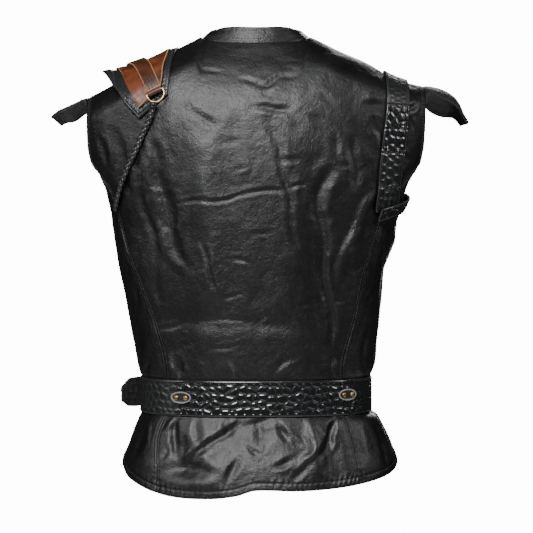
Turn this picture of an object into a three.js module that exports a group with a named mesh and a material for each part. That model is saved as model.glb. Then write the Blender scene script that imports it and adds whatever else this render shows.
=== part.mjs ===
// A leather vest with a stand collar, shoulder wings, a left shoulder flap with a braid,
// a right harness strap and a belt. Millimetres. +X is the wearer's left, +Y the back, +Z up.
// The origin is on the centre line at the height of the side neck points.
import * as THREE from "three";

const { clamp, lerp, smoothstep, degToRad, radToDeg } = THREE.MathUtils;

// ---------------------------------------------------------------- driving sizes

const BACK = 1;
const FRONT = -1;

const WALL = 2; // thickness of the body's leather
const SEAM_GAP = 0.3; // between two pieces sewn together
const SEAM_INSET = SEAM_GAP / 2; // each of two panels ends this far from their seam

const NECK_HALF = 80; // half the neckline's width
const NECK_TOP = 0.5; // the side neck points
// The neckline falls from the side neck points to its middle. A low power gives it a flat middle.
const NECKLINE = { [BACK]: { drop: 17.5, power: 0.5 }, [FRONT]: { drop: 76.5, power: 0.85 } };
const ARMHOLE_HALF = 246; // from the centre line to the end of the shoulder seam
const RIDGE_Y = 10; // the shoulder seam lies this far behind the middle
const ROLL_RADIUS = 50; // over the shoulder
const SIDE_SEAM = degToRad(83); // as a turn from the centre back

const BELT_HEIGHT = 50;
const BELT_TOP = -499;
const BELT_BOTTOM = BELT_TOP - BELT_HEIGHT;
const BELT_LIFT = 0.9; // between the vest and the belt's inner face
const BELT_WALL = 3;

const ROUNDNESS = 2.4; // power of the body's rings: 2 is an ellipse

// The body's rings: half widths to the left and right of the centre line, depths behind and before it.
// Above the underarm the half widths go on past the armholes.
const RINGS = [
  { z: -665, left: 200, right: 210, back: 143, front: 136 },
  { z: -622, left: 197, right: 209, back: 134, front: 130 },
  { z: -595, left: 187, right: 199, back: 126, front: 124 },
  { z: -577, left: 181, right: 191, back: 121, front: 119 },
  { z: -560, left: 174, right: 183, back: 115, front: 115 },
  { z: -553, left: 170.5, right: 177, back: 112, front: 112 },
  { z: BELT_BOTTOM, left: 167.5, right: 167.5, back: 110, front: 110 },
  { z: BELT_TOP, left: 167.5, right: 167.5, back: 110, front: 110 },
  { z: -494, left: 170, right: 171, back: 111, front: 112 },
  { z: -480, left: 174, right: 176, back: 112, front: 114 },
  { z: -444, left: 181, right: 179, back: 113.5, front: 116 },
  { z: -399, left: 190, right: 184, back: 115.5, front: 119 },
  { z: -364, left: 197, right: 187, back: 117.5, front: 121.5 },
  { z: -338, left: 203, right: 190, back: 119, front: 123 },
  { z: -318, left: 206, right: 198, back: 120, front: 124.5 },
  { z: -300, left: 209, right: 205, back: 121, front: 125.5 },
  { z: -275, left: 213, right: 209, back: 122.5, front: 127 },
  { z: -240, left: 228, right: 228, back: 124, front: 128 },
  { z: -200, left: 246, right: 246, back: 124.5, front: 127 },
  { z: -150, left: 262, right: 262, back: 122, front: 120 },
  { z: -100, left: 275, right: 275, back: 116, front: 104 },
  { z: -60, left: 281, right: 281, back: 100, front: 90 },
  { z: -17, left: 285, right: 285, back: 72, front: 76 },
  { z: 40, left: 287, right: 287, back: 66, front: 70 },
];

// The height of the shoulder seam, and above the neckline the crest that the roll is measured from.
const RIDGE = [
  { x: 0, left: 23, right: 23 },
  { x: 20, left: 19.5, right: 19.5 },
  { x: 40, left: 13.5, right: 13.5 },
  { x: 60, left: 7.5, right: 7.5 },
  { x: NECK_HALF, left: NECK_TOP, right: NECK_TOP },
  { x: 100, left: -9, right: -8 },
  { x: 121, left: -20, right: -19 },
  { x: 165, left: -44, right: -39 },
  { x: 204, left: -66, right: -60 },
  { x: ARMHOLE_HALF, left: -88, right: -71.5 },
];

// The hem's height by the angle from the centre back, positive to the wearer's left.
const HEM = [
  { angle: -180, z: -646 },
  { angle: -150, z: -644 },
  { angle: -118, z: -636 },
  { angle: -88, z: -625 },
  { angle: -66, z: -638 },
  { angle: -45, z: -647 },
  { angle: -24, z: -650 },
  { angle: 0, z: -649 },
  { angle: 12, z: -657 },
  { angle: 28, z: -661 },
  { angle: 48, z: -658 },
  { angle: 68, z: -642 },
  { angle: 86, z: -624 },
  { angle: 118, z: -636 },
  { angle: 150, z: -644 },
  { angle: 180, z: -646 },
];

// The princess seams, from the hem up to the armhole.
const PRINCESS = [
  { z: -670, left: 141, right: 150 },
  { z: -622, left: 140, right: 145 },
  { z: -583, left: 141, right: 138 },
  { z: -560, left: 134, right: 131 },
  { z: BELT_BOTTOM, left: 128, right: 127 },
  { z: BELT_TOP, left: 128, right: 124 },
  { z: -462, left: 134, right: 129 },
  { z: -414, left: 148, right: 142 },
  { z: -379, left: 160, right: 149 },
  { z: -348, left: 172, right: 156 },
  { z: -311, left: 186, right: 168 },
  { z: -275, left: 196, right: 180 },
  { z: -248, left: 203, right: 192 },
  { z: -225, left: 212, right: 207 },
  { z: -205, left: 226, right: 224 },
  { z: -190, left: 238, right: 238 },
];
const PRINCESS_TOP = { left: -205, right: -190 };

// The armhole's back edge above the princess seam.
const BACK_ARMHOLE = [
  { z: -205, x: 226 },
  { z: -190, x: 238 },
  { z: -172, x: 243 },
  { z: -155, x: 245 },
  { z: -120, x: 246 },
  { z: -60, x: 246 },
];

// The armhole's edge from the princess seam down to the side seam.
const LOWER_ARMHOLE = {
  left: [
    { x: 226, z: -205 },
    { x: 219, z: -222 },
    { x: 215, z: -241 },
    { x: 211, z: -262 },
  ],
  right: [
    { x: 238, z: -190 },
    { x: 226, z: -206 },
    { x: 218, z: -223 },
    { x: 214, z: -242 },
    { x: 208, z: -265 },
  ],
};
const UNDERARM = -277;

// The armhole's front edge, from the side seam up.
const FRONT_ARMHOLE = [
  { x: 208, z: -262 },
  { x: 204, z: -236 },
  { x: 206, z: -192 },
  { x: 215, z: -150 },
  { x: 232, z: -112 },
];

// The largest folds. Each is a straight trough (depth below 0) or ridge in one face of the body.
const FOLDS = [
  { face: BACK, x0: 132, z0: -165, x1: 111, z1: -480, width: 24, depth: -4.5 },
  { face: BACK, x0: 74, z0: -150, x1: 65, z1: -390, width: 24, depth: 3 },
  { face: BACK, x0: -91, z0: -180, x1: -84, z1: -290, width: 17, depth: -4 },
  { face: BACK, x0: -84, z0: -290, x1: -112, z1: -480, width: 17, depth: -5 },
  { face: BACK, x0: -165, z0: -235, x1: -126, z1: -335, width: 14, depth: 4 },
  { face: BACK, x0: 140, z0: -413, x1: -60, z1: -418, width: 12, depth: -2 },
  { face: BACK, x0: 111, z0: -566, x1: 108, z1: -620, width: 14, depth: -6 },
  { face: BACK, x0: 68, z0: -580, x1: 64, z1: -650, width: 26, depth: 5 },
  { face: BACK, x0: 26, z0: -566, x1: 92, z1: -616, width: 13, depth: -5 },
  { face: BACK, x0: 12, z0: -570, x1: -30, z1: -572, width: 14, depth: -4 },
  { face: BACK, x0: -80, z0: -570, x1: -84, z1: -625, width: 15, depth: 6 },
  { face: BACK, x0: -110, z0: -566, x1: -112, z1: -640, width: 13, depth: -6 },
  { face: FRONT, x0: 110, z0: -250, x1: 92, z1: -480, width: 24, depth: -4.5 },
  { face: FRONT, x0: -118, z0: -230, x1: -88, z1: -470, width: 22, depth: -4 },
  { face: FRONT, x0: 64, z0: -572, x1: 70, z1: -640, width: 18, depth: 5 },
  { face: FRONT, x0: 104, z0: -566, x1: 118, z1: -635, width: 15, depth: -6 },
  { face: FRONT, x0: -58, z0: -570, x1: -66, z1: -640, width: 17, depth: -5 },
  { face: FRONT, x0: -100, z0: -572, x1: -112, z1: -640, width: 18, depth: 5 },
];
const FOLD_END = 30; // a fold fades out over this length at its ends
const BELT_CALM = 14; // and over this distance from the belt
const FOLD_TURN = { from: 0.1, to: 0.5 }; // and round the side, by the cosine of the angle

// Rows and columns of the body's walls.
const SKIRT_ROWS = 5;
const BELT_ROWS = 2;
const BODY_ROWS = 12;
const YOKE_ROWS = 9;
const SHOULDER_COLUMNS = 6;
const NECK_COLUMNS = 5;
const SIDE_COLUMNS = 4;
const FRONT_NECK_COLUMNS = 5;
const FRONT_OVERLAP = 15; // each front runs this far past the centre line
const HEM_MEAN = -648;
const COLLAR_START = 7; // the collar's ends lie this far from the centre line
const MEAN_RADIUS = 170; // makes a turn a rough length round the body
const UNDER_LAP = 2.6; // the right front lies this much deeper where the left one covers it
const LAP_COLUMNS = { from: 3, to: 6 }; // and comes up between these of its columns
const EDGE_GAP = 0.45; // from a panel to a collar or wing that is sewn on its edge
const TURNS = 6; // rounds of closing in on a place that is given by its own result

// ---------------------------------------------------------------- materials

const leather = new THREE.MeshStandardMaterial({ color: 0x17181b, roughness: 0.42, metalness: 0 });
const embossed = new THREE.MeshStandardMaterial({ color: 0x0d0d0f, roughness: 0.2, metalness: 0 });
const brown = new THREE.MeshStandardMaterial({ color: 0x6b3219, roughness: 0.45, metalness: 0 });
const brass = new THREE.MeshStandardMaterial({ color: 0x9a7b46, roughness: 0.35, metalness: 1 });

const vest = new THREE.Group();

// ---------------------------------------------------------------- small tools

// A smooth curve through one column of a table, by another column that rises.
function curveThrough(rows, key, column) {
  const at = rows.map((row) => row[key]);
  const to = rows.map((row) => row[column]);
  const last = at.length - 1;
  const slope = at.map((_, i) => {
    const low = Math.max(i - 1, 0);
    const high = Math.min(i + 1, last);
    return (to[high] - to[low]) / (at[high] - at[low]);
  });
  return (t) => {
    let i = 0;
    while (i < last - 1 && t > at[i + 1]) i += 1;
    const span = at[i + 1] - at[i];
    const s = clamp((t - at[i]) / span, 0, 1);
    const rise = s * s * (3 - 2 * s);
    const lead = s * (1 - s) * (1 - s) * slope[i] - s * s * (1 - s) * slope[i + 1];
    return lerp(to[i], to[i + 1], rise) + lead * span;
  };
}

// count + 1 numbers from one value to another.
const spread = (from, to, count) =>
  Array.from({ length: count + 1 }, (_, i) => lerp(from, to, i / count));

const sideOf = (x) => (x >= 0 ? "left" : "right");

// ---------------------------------------------------------------- the body's surface

const halfWidth = {
  left: curveThrough(RINGS, "z", "left"),
  right: curveThrough(RINGS, "z", "right"),
};
const depth = {
  [BACK]: curveThrough(RINGS, "z", "back"),
  [FRONT]: curveThrough(RINGS, "z", "front"),
};
const ridge = { left: curveThrough(RIDGE, "x", "left"), right: curveThrough(RIDGE, "x", "right") };
const hem = curveThrough(HEM, "angle", "z");
const princess = {
  left: curveThrough(PRINCESS, "z", "left"),
  right: curveThrough(PRINCESS, "z", "right"),
};
const backArmhole = curveThrough(BACK_ARMHOLE, "z", "x");

const ridgeAt = (x) => ridge[sideOf(x)](Math.abs(x));

// A climb is a height that goes on over the shoulder's roll, past the ridge's own height.
const kneeAt = (x) => ridgeAt(x) - ROLL_RADIUS;
const crestClimb = (x) => kneeAt(x) + (ROLL_RADIUS * Math.PI) / 2;

function climbOf(x, z) {
  const over = z - kneeAt(x);
  if (over <= 0) return z;
  return kneeAt(x) + ROLL_RADIUS * Math.asin(Math.min(over / ROLL_RADIUS, 1));
}

function rollAt(x, climb) {
  const over = Math.max(climb - kneeAt(x), 0) / ROLL_RADIUS;
  return {
    z: over > 0 ? kneeAt(x) + ROLL_RADIUS * Math.sin(over) : climb,
    share: Math.cos(over),
  };
}

// How far a face of the ring at height z lies from the middle, at x.
function faceDepth(x, z, face) {
  const share = Math.min(Math.abs(x) / halfWidth[sideOf(x)](z), 1);
  return depth[face](z) * Math.pow(1 - Math.pow(share, ROUNDNESS), 1 / ROUNDNESS);
}

// The angle from the centre back at which a ring passes x.
const angleAt = (x, climb, face) => Math.atan2(x, face * faceDepth(x, rollAt(x, climb).z, face));

// A turn goes round a ring from the centre back as the angle does, but keeps its x from ring to ring.
function turnAt(x, climb, face) {
  const share = Math.min(Math.abs(x) / halfWidth[sideOf(x)](rollAt(x, climb).z), 1);
  const turn = Math.asin(share ** (ROUNDNESS / 2));
  return Math.sign(x || 1) * (face === BACK ? turn : Math.PI - turn);
}

const stretched = (share) => Math.sign(share) * Math.abs(share) ** (2 / ROUNDNESS);

function angleOfTurn(turn, climb) {
  const x = stretched(Math.sin(turn));
  let z = climb;
  for (let i = 0; i < TURNS; i += 1) z = rollAt(x * halfWidth[sideOf(x)](z), climb).z;
  const y = stretched(Math.cos(turn)) * depth[Math.cos(turn) >= 0 ? BACK : FRONT](z);
  return Math.atan2(x * halfWidth[sideOf(x)](z), y);
}

function ringRadius(angle, z) {
  const across = Math.abs(Math.sin(angle)) / halfWidth[sideOf(Math.sin(angle))](z);
  const deep = Math.abs(Math.cos(angle)) / depth[Math.cos(angle) >= 0 ? BACK : FRONT](z);
  return Math.pow(Math.pow(across, ROUNDNESS) + Math.pow(deep, ROUNDNESS), -1 / ROUNDNESS);
}

function foldAt(x, z, facing) {
  let sum = 0;
  for (const fold of FOLDS) {
    const along = new THREE.Vector2(fold.x1 - fold.x0, fold.z1 - fold.z0);
    const length = along.length();
    along.divideScalar(length);
    const from = new THREE.Vector2(x - fold.x0, z - fold.z0);
    const run = from.dot(along);
    const off = from.cross(along);
    const fade = smoothstep(run, -FOLD_END, FOLD_END) * smoothstep(length - run, -FOLD_END, FOLD_END);
    const shown = smoothstep(facing * fold.face, FOLD_TURN.from, FOLD_TURN.to);
    sum += fold.depth * Math.exp(-((off / fold.width) ** 2)) * fade * shown;
  }
  const belt = Math.max(z - BELT_TOP, BELT_BOTTOM - z, 0);
  return sum * smoothstep(belt, 0, BELT_CALM);
}

function surfacePoint(angle, climb) {
  let z = climb;
  let x = 0;
  for (let i = 0; i < TURNS; i += 1) {
    x = ringRadius(angle, z) * Math.sin(angle);
    z = rollAt(x, climb).z;
  }
  const flat = ringRadius(angle, z) * Math.cos(angle);
  const share = rollAt(x, climb).share;
  const fold = foldAt(x, z, Math.cos(angle)) * share;
  const y = lerp(RIDGE_Y, flat, share);
  return new THREE.Vector3(x + fold * Math.sin(angle), y + fold * Math.cos(angle), z);
}

// A point of the surface with its outward normal.
function surface(angle, climb) {
  const turn = 0.002;
  const rise = 0.4;
  const across = surfacePoint(angle + turn, climb).sub(surfacePoint(angle - turn, climb));
  const up = surfacePoint(angle, climb + rise).sub(surfacePoint(angle, climb - rise));
  return { point: surfacePoint(angle, climb), normal: up.cross(across).normalize() };
}

const surfaceAt = (x, z, face) => surface(angleAt(x, climbOf(x, z), face), climbOf(x, z));

// ---------------------------------------------------------------- walls

// Closed wall between two grids of points. Each cell is split along its shorter diagonal.
function closedWall(inner, outer) {
  const rows = outer.length;
  const columns = outer[0].length;
  const points = [...outer.flat(), ...inner.flat()];
  const under = rows * columns;
  const at = (i, j) => i * columns + j;
  const faces = [];
  const quad = (a, b, c, d) => faces.push(a, b, c, a, c, d);
  for (let i = 0; i < rows - 1; i += 1) {
    for (let j = 0; j < columns - 1; j += 1) {
      const [a, b, c, d] = [at(i, j), at(i, j + 1), at(i + 1, j + 1), at(i + 1, j)];
      if (points[a].distanceTo(points[c]) < points[b].distanceTo(points[d])) {
        quad(a, b, c, d);
        quad(under + a, under + d, under + c, under + b);
      } else {
        quad(b, c, d, a);
        quad(under + b, under + a, under + d, under + c);
      }
    }
  }
  const loop = [];
  for (let j = 0; j < columns - 1; j += 1) loop.push(at(0, j));
  for (let i = 0; i < rows - 1; i += 1) loop.push(at(i, columns - 1));
  for (let j = columns - 1; j > 0; j -= 1) loop.push(at(rows - 1, j));
  for (let i = rows - 1; i > 0; i -= 1) loop.push(at(i, 0));
  loop.forEach((a, k) => {
    const b = loop[(k + 1) % loop.length];
    quad(a, under + a, under + b, b);
  });
  return outwards(points, faces);
}

// Geometry from points and faces, turned round if the faces point inwards.
function outwards(points, faces) {
  let volume = 0;
  for (let k = 0; k < faces.length; k += 3) {
    const [a, b, c] = [points[faces[k]], points[faces[k + 1]], points[faces[k + 2]]];
    volume += a.dot(new THREE.Vector3().crossVectors(b, c));
  }
  const order = volume < 0 ? [...faces].reverse() : faces;
  const geometry = new THREE.BufferGeometry().setFromPoints(points);
  geometry.setIndex(order);
  geometry.computeVertexNormals();
  return geometry;
}

function add(name, geometry, material) {
  const mesh = new THREE.Mesh(geometry, material);
  mesh.name = name;
  vest.add(mesh);
  return mesh;
}

// A wall on a grid of surface points. lift says how far its inner face stands off each of them.
function addWall(name, grid, lift, thickness, material) {
  const liftOf = typeof lift === "function" ? lift : () => lift;
  const moved = (more) =>
    grid.map((row, i) =>
      row.map((cell, j) => cell.point.clone().addScaledVector(cell.normal, liftOf(i, j) + more)),
    );
  return add(name, closedWall(moved(0), moved(thickness)), material);
}

// A grid of points gets the normals of its own shape, on the side that facing gives for a point.
function withNormals(points, facing) {
  const last = (list) => list.length - 1;
  return points.map((row, i) =>
    row.map((point, j) => {
      const down = points[Math.max(i - 1, 0)][j];
      const up = points[Math.min(i + 1, last(points))][j];
      const before = row[Math.max(j - 1, 0)];
      const after = row[Math.min(j + 1, last(row))];
      const normal = up.clone().sub(down).cross(after.clone().sub(before)).normalize();
      return { point, normal: normal.multiplyScalar(normal.dot(facing(point)) < 0 ? -1 : 1) };
    }),
  );
}

// ---------------------------------------------------------------- panels

// A place on the surface is a turn and a climb. A patch fills the space between four edges:
// bottom and top have one place for each column, start and end one for each row. A power above
// 1 keeps what the bow of the top edge does to the rows close to that edge.
function patch(bottom, top, start, end, power = 1) {
  const corner = (i, j) => (j ? top : bottom)[i ? bottom.length - 1 : 0];
  return start.map((_, r) => {
    const v = r / (start.length - 1);
    return bottom.map((_, c) => {
      const u = c / (bottom.length - 1);
      return [0, 1].map((k) => {
        const lowBow = bottom[c][k] - lerp(corner(0, 0)[k], corner(1, 0)[k], u);
        const topBow = top[c][k] - lerp(corner(0, 1)[k], corner(1, 1)[k], u);
        return lerp(start[r][k], end[r][k], u) + (1 - v) * lowBow + v ** power * topBow;
      });
    });
  });
}

// Patches that share their rows of columns, one above the other.
const stack = (patches) => patches.flatMap((rows, i) => (i ? rows.slice(1) : rows));

// Surface cells for rows of places, each moved by lengths round the body and upwards.
function onSurface(places, roundOf, upOf) {
  return places.map((row, r) =>
    row.map(([turn, climb], c) => {
      const angle = angleOfTurn(turn, climb);
      return surface(angle + roundOf(r, c) / ringRadius(angle, climb), climb + upOf(r, c));
    }),
  );
}

const placeAt = (x, z, face) => [turnAt(x, climbOf(x, z), face), climbOf(x, z)];
const crestPlace = (x, face) => [turnAt(x, crestClimb(x), face), crestClimb(x)];

// Places along a seam between two heights.
function seamPlaces(from, to, count, xOf, face) {
  return spread(from, to, count).map((z) => placeAt(xOf(z), z, face));
}

const hemAt = (turn) => hem(radToDeg(angleOfTurn(turn, HEM_MEAN)));

// Evenly spaced places on a smooth line through the given ones.
const smoothPlaces = (places, count) =>
  new THREE.SplineCurve(places.map(([turn, climb]) => new THREE.Vector2(turn * MEAN_RADIUS, climb)))
    .getSpacedPoints(count)
    .map((point) => [point.x / MEAN_RADIUS, point.y]);

// Where the hem meets a princess seam.
function princessHem(side, sign) {
  let z = HEM_MEAN;
  for (let i = 0; i < TURNS; i += 1) z = hemAt(turnAt(sign * princess[side](z), z, BACK));
  return z;
}

// One princess seam in its three lengths: skirt, belt and body.
function princessLengths(side, sign) {
  const x = (z) => sign * princess[side](z);
  return [
    seamPlaces(princessHem(side, sign), BELT_BOTTOM, SKIRT_ROWS, x, BACK),
    seamPlaces(BELT_BOTTOM, BELT_TOP, BELT_ROWS, x, BACK),
    seamPlaces(BELT_TOP, PRINCESS_TOP[side], BODY_ROWS, x, BACK),
  ];
}

const seams = { left: princessLengths("left", 1), right: princessLengths("right", -1) };

// The armhole's back edge above the princess seam, up to the shoulder seam.
function backArmholeEdge(side, sign) {
  const low = PRINCESS_TOP[side];
  const high = crestClimb(sign * ARMHOLE_HALF);
  return spread(low, high, YOKE_ROWS).map((climb) => {
    const x = sign * backArmhole(rollAt(sign * ARMHOLE_HALF, climb).z);
    return [turnAt(x, climb, BACK), climb];
  });
}

const backEdges = { left: backArmholeEdge("left", 1), right: backArmholeEdge("right", -1) };

// Shares of the half width at which the back's columns run, with one on each side neck point.
const SHOULDER_XS = spread(NECK_HALF, ARMHOLE_HALF, SHOULDER_COLUMNS);
const neckXs = (from, count) =>
  spread(Math.asin(from / NECK_HALF), Math.PI / 2, count).map((turn) => NECK_HALF * Math.sin(turn));
const BACK_XS = [...neckXs(0, NECK_COLUMNS), ...SHOULDER_XS.slice(1)];
const BACK_COLUMNS = [...BACK_XS.slice(1).reverse().map((x) => -x), ...BACK_XS];

// A place on the neckline, or on the shoulder seam further out.
function topEdge(x, face) {
  if (Math.abs(x) >= NECK_HALF) return crestPlace(x, face);
  const { drop, power } = NECKLINE[face];
  return placeAt(x, NECK_TOP - drop * (1 - (x / NECK_HALF) ** 2) ** power, face);
}

function addBack() {
  const widthAt = (z, x) => (x >= 0 ? princess.left(z) : princess.right(z));
  const level = (heightOf) =>
    BACK_COLUMNS.map((x) => {
      const share = x / ARMHOLE_HALF;
      const z = heightOf(share);
      return placeAt(share * widthAt(z, x), z, BACK);
    });
  const hemLine = level((share) => hemAt(turnAt(share * widthAt(HEM_MEAN, share), HEM_MEAN, BACK)));
  const cornerLine = level((share) =>
    lerp(PRINCESS_TOP.right, PRINCESS_TOP.left, (share + 1) / 2),
  );
  const lines = [hemLine, level(() => BELT_BOTTOM), level(() => BELT_TOP), cornerLine];
  const topLine = BACK_COLUMNS.map((x) => topEdge(x, BACK));
  const start = [...seams.right, backEdges.right];
  const end = [...seams.left, backEdges.left];
  const rows = [...lines, topLine];
  const places = stack(
    start.map((edge, i) => patch(rows[i], rows[i + 1], edge, end[i])),
  );
  const crest = places.length - 1;
  const columns = BACK_COLUMNS.length - 1;
  const yoke = SKIRT_ROWS + BELT_ROWS + BODY_ROWS;
  const grid = onSurface(
    places,
    (r, c) => (r > yoke ? 0 : c === 0 ? SEAM_INSET : c === columns ? -SEAM_INSET : 0),
    (r) => (r === crest ? -SEAM_INSET : 0),
  );
  addWall("back_panel", grid, -WALL, WALL, leather);
  return grid;
}

const ARMHOLE_POWER = 6;

function addSideBack(side, sign) {
  const [skirt, belt, body] = seams[side];
  const seamTurn = sign * SIDE_SEAM;
  const sideEdge = (from, to, count) => spread(from, to, count).map((z) => [seamTurn, z]);
  const level = (z) => {
    const from = placeAt(sign * princess[side](z), z, BACK)[0];
    return spread(from, seamTurn, SIDE_COLUMNS).map((turn) => [turn, z]);
  };
  const hemLine = spread(skirt[0][0], seamTurn, SIDE_COLUMNS).map((turn) => [turn, hemAt(turn)]);
  const armhole = smoothPlaces(
    [
      ...LOWER_ARMHOLE[side].map((row) => placeAt(sign * row.x, row.z, BACK)),
      [seamTurn, UNDERARM],
    ],
    SIDE_COLUMNS,
  );
  const places = stack([
    patch(hemLine, level(BELT_BOTTOM), skirt, sideEdge(hemAt(seamTurn), BELT_BOTTOM, SKIRT_ROWS)),
    patch(level(BELT_BOTTOM), level(BELT_TOP), belt, sideEdge(BELT_BOTTOM, BELT_TOP, BELT_ROWS)),
    patch(level(BELT_TOP), armhole, body, sideEdge(BELT_TOP, UNDERARM, BODY_ROWS), ARMHOLE_POWER),
  ]);
  const grid = onSurface(
    places,
    (r, c) => (c === 0 ? sign * SEAM_INSET : c === SIDE_COLUMNS ? -sign * SEAM_INSET : 0),
    () => 0,
  );
  addWall(`side_panel_${side}`, grid, -WALL, WALL, leather);
}

// The front's columns run from the front edge to the side seam, with one on the side neck point.
function addFront(side, sign) {
  const lap = -sign * FRONT_OVERLAP;
  const seamTurn = sign * SIDE_SEAM;
  const tops = [
    lap,
    -sign * COLLAR_START,
    ...neckXs(COLLAR_START, FRONT_NECK_COLUMNS).map((x) => sign * x),
    ...SHOULDER_XS.slice(1).map((x) => sign * x),
  ];
  const count = tops.length - 1;
  const unwrapped = (turn) => (sign * turn < 0 ? turn + sign * 2 * Math.PI : turn);
  const edgeTurn = (climb) => unwrapped(turnAt(lap, climb, FRONT));
  const level = (z) => spread(edgeTurn(z), seamTurn, count).map((turn) => [turn, z]);
  const hemLine = level(HEM_MEAN).map(([turn]) => [turn, hemAt(turn)]);
  const frontEdge = (from, to, rows) => spread(from, to, rows).map((z) => [edgeTurn(z), z]);
  const sideEdge = (from, to, rows) => spread(from, to, rows).map((z) => [seamTurn, z]);
  const topLine = tops.map((x) => {
    const [turn, climb] = topEdge(x, FRONT);
    return [unwrapped(turn), climb];
  });
  const armhole = smoothPlaces(
    [
      [seamTurn, UNDERARM],
      ...FRONT_ARMHOLE.map((row) => placeAt(sign * row.x, row.z, FRONT)),
      topLine[count],
    ],
    YOKE_ROWS,
  );
  const underarm = level(UNDERARM);
  const neckClimb = topLine[0][1];
  const places = stack([
    patch(
      hemLine,
      level(BELT_BOTTOM),
      frontEdge(hemLine[0][1], BELT_BOTTOM, SKIRT_ROWS),
      sideEdge(hemLine[count][1], BELT_BOTTOM, SKIRT_ROWS),
    ),
    patch(
      level(BELT_BOTTOM),
      level(BELT_TOP),
      frontEdge(BELT_BOTTOM, BELT_TOP, BELT_ROWS),
      sideEdge(BELT_BOTTOM, BELT_TOP, BELT_ROWS),
    ),
    patch(
      level(BELT_TOP),
      underarm,
      frontEdge(BELT_TOP, UNDERARM, BODY_ROWS),
      sideEdge(BELT_TOP, UNDERARM, BODY_ROWS),
    ),
    patch(underarm, topLine, frontEdge(UNDERARM, neckClimb, YOKE_ROWS), armhole),
  ]);
  const crest = places.length - 1;
  const lower = SKIRT_ROWS + BELT_ROWS + BODY_ROWS;
  const grid = onSurface(
    places,
    (r, c) => (c === count && r <= lower ? sign * SEAM_INSET : 0),
    (r) => (r === crest ? -SEAM_INSET : 0),
  );
  const tuck = side === "right" ? UNDER_LAP : 0;
  const sunk = (i, j) => -WALL - tuck * (1 - smoothstep(j, LAP_COLUMNS.from, LAP_COLUMNS.to));
  addWall(`front_${side}`, grid, sunk, WALL, leather);
  return grid;
}

const backGrid = addBack();
addSideBack("left", 1);
addSideBack("right", -1);
const frontGrids = { left: addFront("left", 1), right: addFront("right", -1) };

// Cells along a panel's edge, each with its neighbour further in, moved off the panel by the seam's gap.
function besideEdge(cells) {
  const last = cells.length - 1;
  return cells.map(({ point, normal, inner }, i) => {
    const along = cells[Math.min(i + 1, last)].point.clone().sub(cells[Math.max(i - 1, 0)].point);
    const out = along.cross(normal).normalize();
    if (out.dot(point.clone().sub(inner)) < 0) out.negate();
    return { point: point.clone().addScaledVector(out, EDGE_GAP), normal };
  });
}

// ---------------------------------------------------------------- collar

const COLLAR_HEIGHT = { middle: 25.5, side: 18 };
const COLLAR_LEAN = { middle: 0.2, side: 1.2 }; // inwards for each unit of height
const COLLAR_ROWS = 2;
const UP = new THREE.Vector3(0, 0, 1);

function addCollar() {
  const topRow = (grid) => grid.at(-1).map((cell, i) => ({ ...cell, inner: grid.at(-2)[i].point }));
  const atNeck = (cell) => Math.abs(cell.point.x) < NECK_HALF + 1;
  const left = topRow(frontGrids.left).slice(2).filter(atNeck);
  const right = topRow(frontGrids.right).slice(2).filter(atNeck);
  const back = topRow(backGrid).filter(atNeck);
  const base = besideEdge([...right, ...back.slice(1, -1), ...left.reverse()]);
  const last = base.length - 1;
  const rows = spread(0, 1, COLLAR_ROWS).map((share) =>
    base.map(({ point }, i) => {
      const ahead = base[Math.min(i + 1, last)].point;
      const behind = base[Math.max(i - 1, 0)].point;
      const edge = ahead.clone().sub(behind).normalize();
      const inward = new THREE.Vector3(-point.x, -point.y, 0).normalize();
      const aside = Math.min((point.x / NECK_HALF) ** 4, 1);
      const lean = lerp(COLLAR_LEAN.middle, COLLAR_LEAN.side, aside);
      const height = lerp(COLLAR_HEIGHT.middle, COLLAR_HEIGHT.side, aside);
      const rise = UP.clone().addScaledVector(inward, lean);
      rise.addScaledVector(edge, -rise.dot(edge));
      if (i === 0 || i === last) rise.x = 0; // the ends stand upright, apart from each other
      rise.normalize();
      return point.clone().addScaledVector(rise, share * height);
    }),
  );
  const outward = (point) => new THREE.Vector3(point.x, point.y, 0);
  const grid = withNormals(rows, outward);
  grid[0] = base;
  addWall("collar", grid, -WALL, WALL, leather);
}

// ---------------------------------------------------------------- shoulder wings

// From the armhole outwards: the crown line, the half length in Y and how far the ends hang below it.
const WINGS = {
  left: [
    { x: 254, z: -90.5, half: 50, hang: 7 },
    { x: 267, z: -96.5, half: 50, hang: 9 },
    { x: 280, z: -102, half: 48, hang: 14.5 },
    { x: 292, z: -108, half: 46, hang: 11 },
    { x: 302, z: -116, half: 42, hang: 8 },
  ],
  right: [
    { x: 258, z: -72.5, half: 52, hang: 20 },
    { x: 272, z: -76, half: 54, hang: 27 },
    { x: 287, z: -83.5, half: 51, hang: 26.5 },
    { x: 298, z: -95.5, half: 45, hang: 16.5 },
    { x: 306, z: -112, half: 36, hang: 3 },
    { x: 314, z: -125, half: 24, hang: 2 },
  ],
};
const WING_TUCK = 8; // the ends lie this much nearer to the body than the crown
const WING_ROOT = -102; // the seam runs down to this height on the back and the front

function addWing(side, sign) {
  const edgeOf = (grid, last) =>
    grid.map((row) => {
      const cells = last ? [...row].reverse() : row;
      return { ...cells[0], inner: cells[1].point };
    });
  const high = (cell) => cell.point.z > WING_ROOT;
  const back = edgeOf(backGrid, side === "left").filter(high);
  const front = edgeOf(frontGrids[side], true).filter(high);
  const root = [...back, ...front.reverse().slice(1)];
  const seam = besideEdge(root);
  const rows = WINGS[side].map(({ x, z, half, hang }) =>
    seam.map(({ point }) => {
      const q = (point.y - RIDGE_Y) / Math.max(...seam.map((cell) => Math.abs(cell.point.y - RIDGE_Y)));
      return new THREE.Vector3(sign * (x - WING_TUCK * q * q), RIDGE_Y + q * half, z - hang * q * q);
    }),
  );
  const grid = withNormals([seam.map((cell) => cell.point), ...rows], () => UP);
  grid[0] = seam;
  addWall(`wing_${side}`, grid, -WALL, WALL, leather);
}

// ---------------------------------------------------------------- left shoulder

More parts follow.
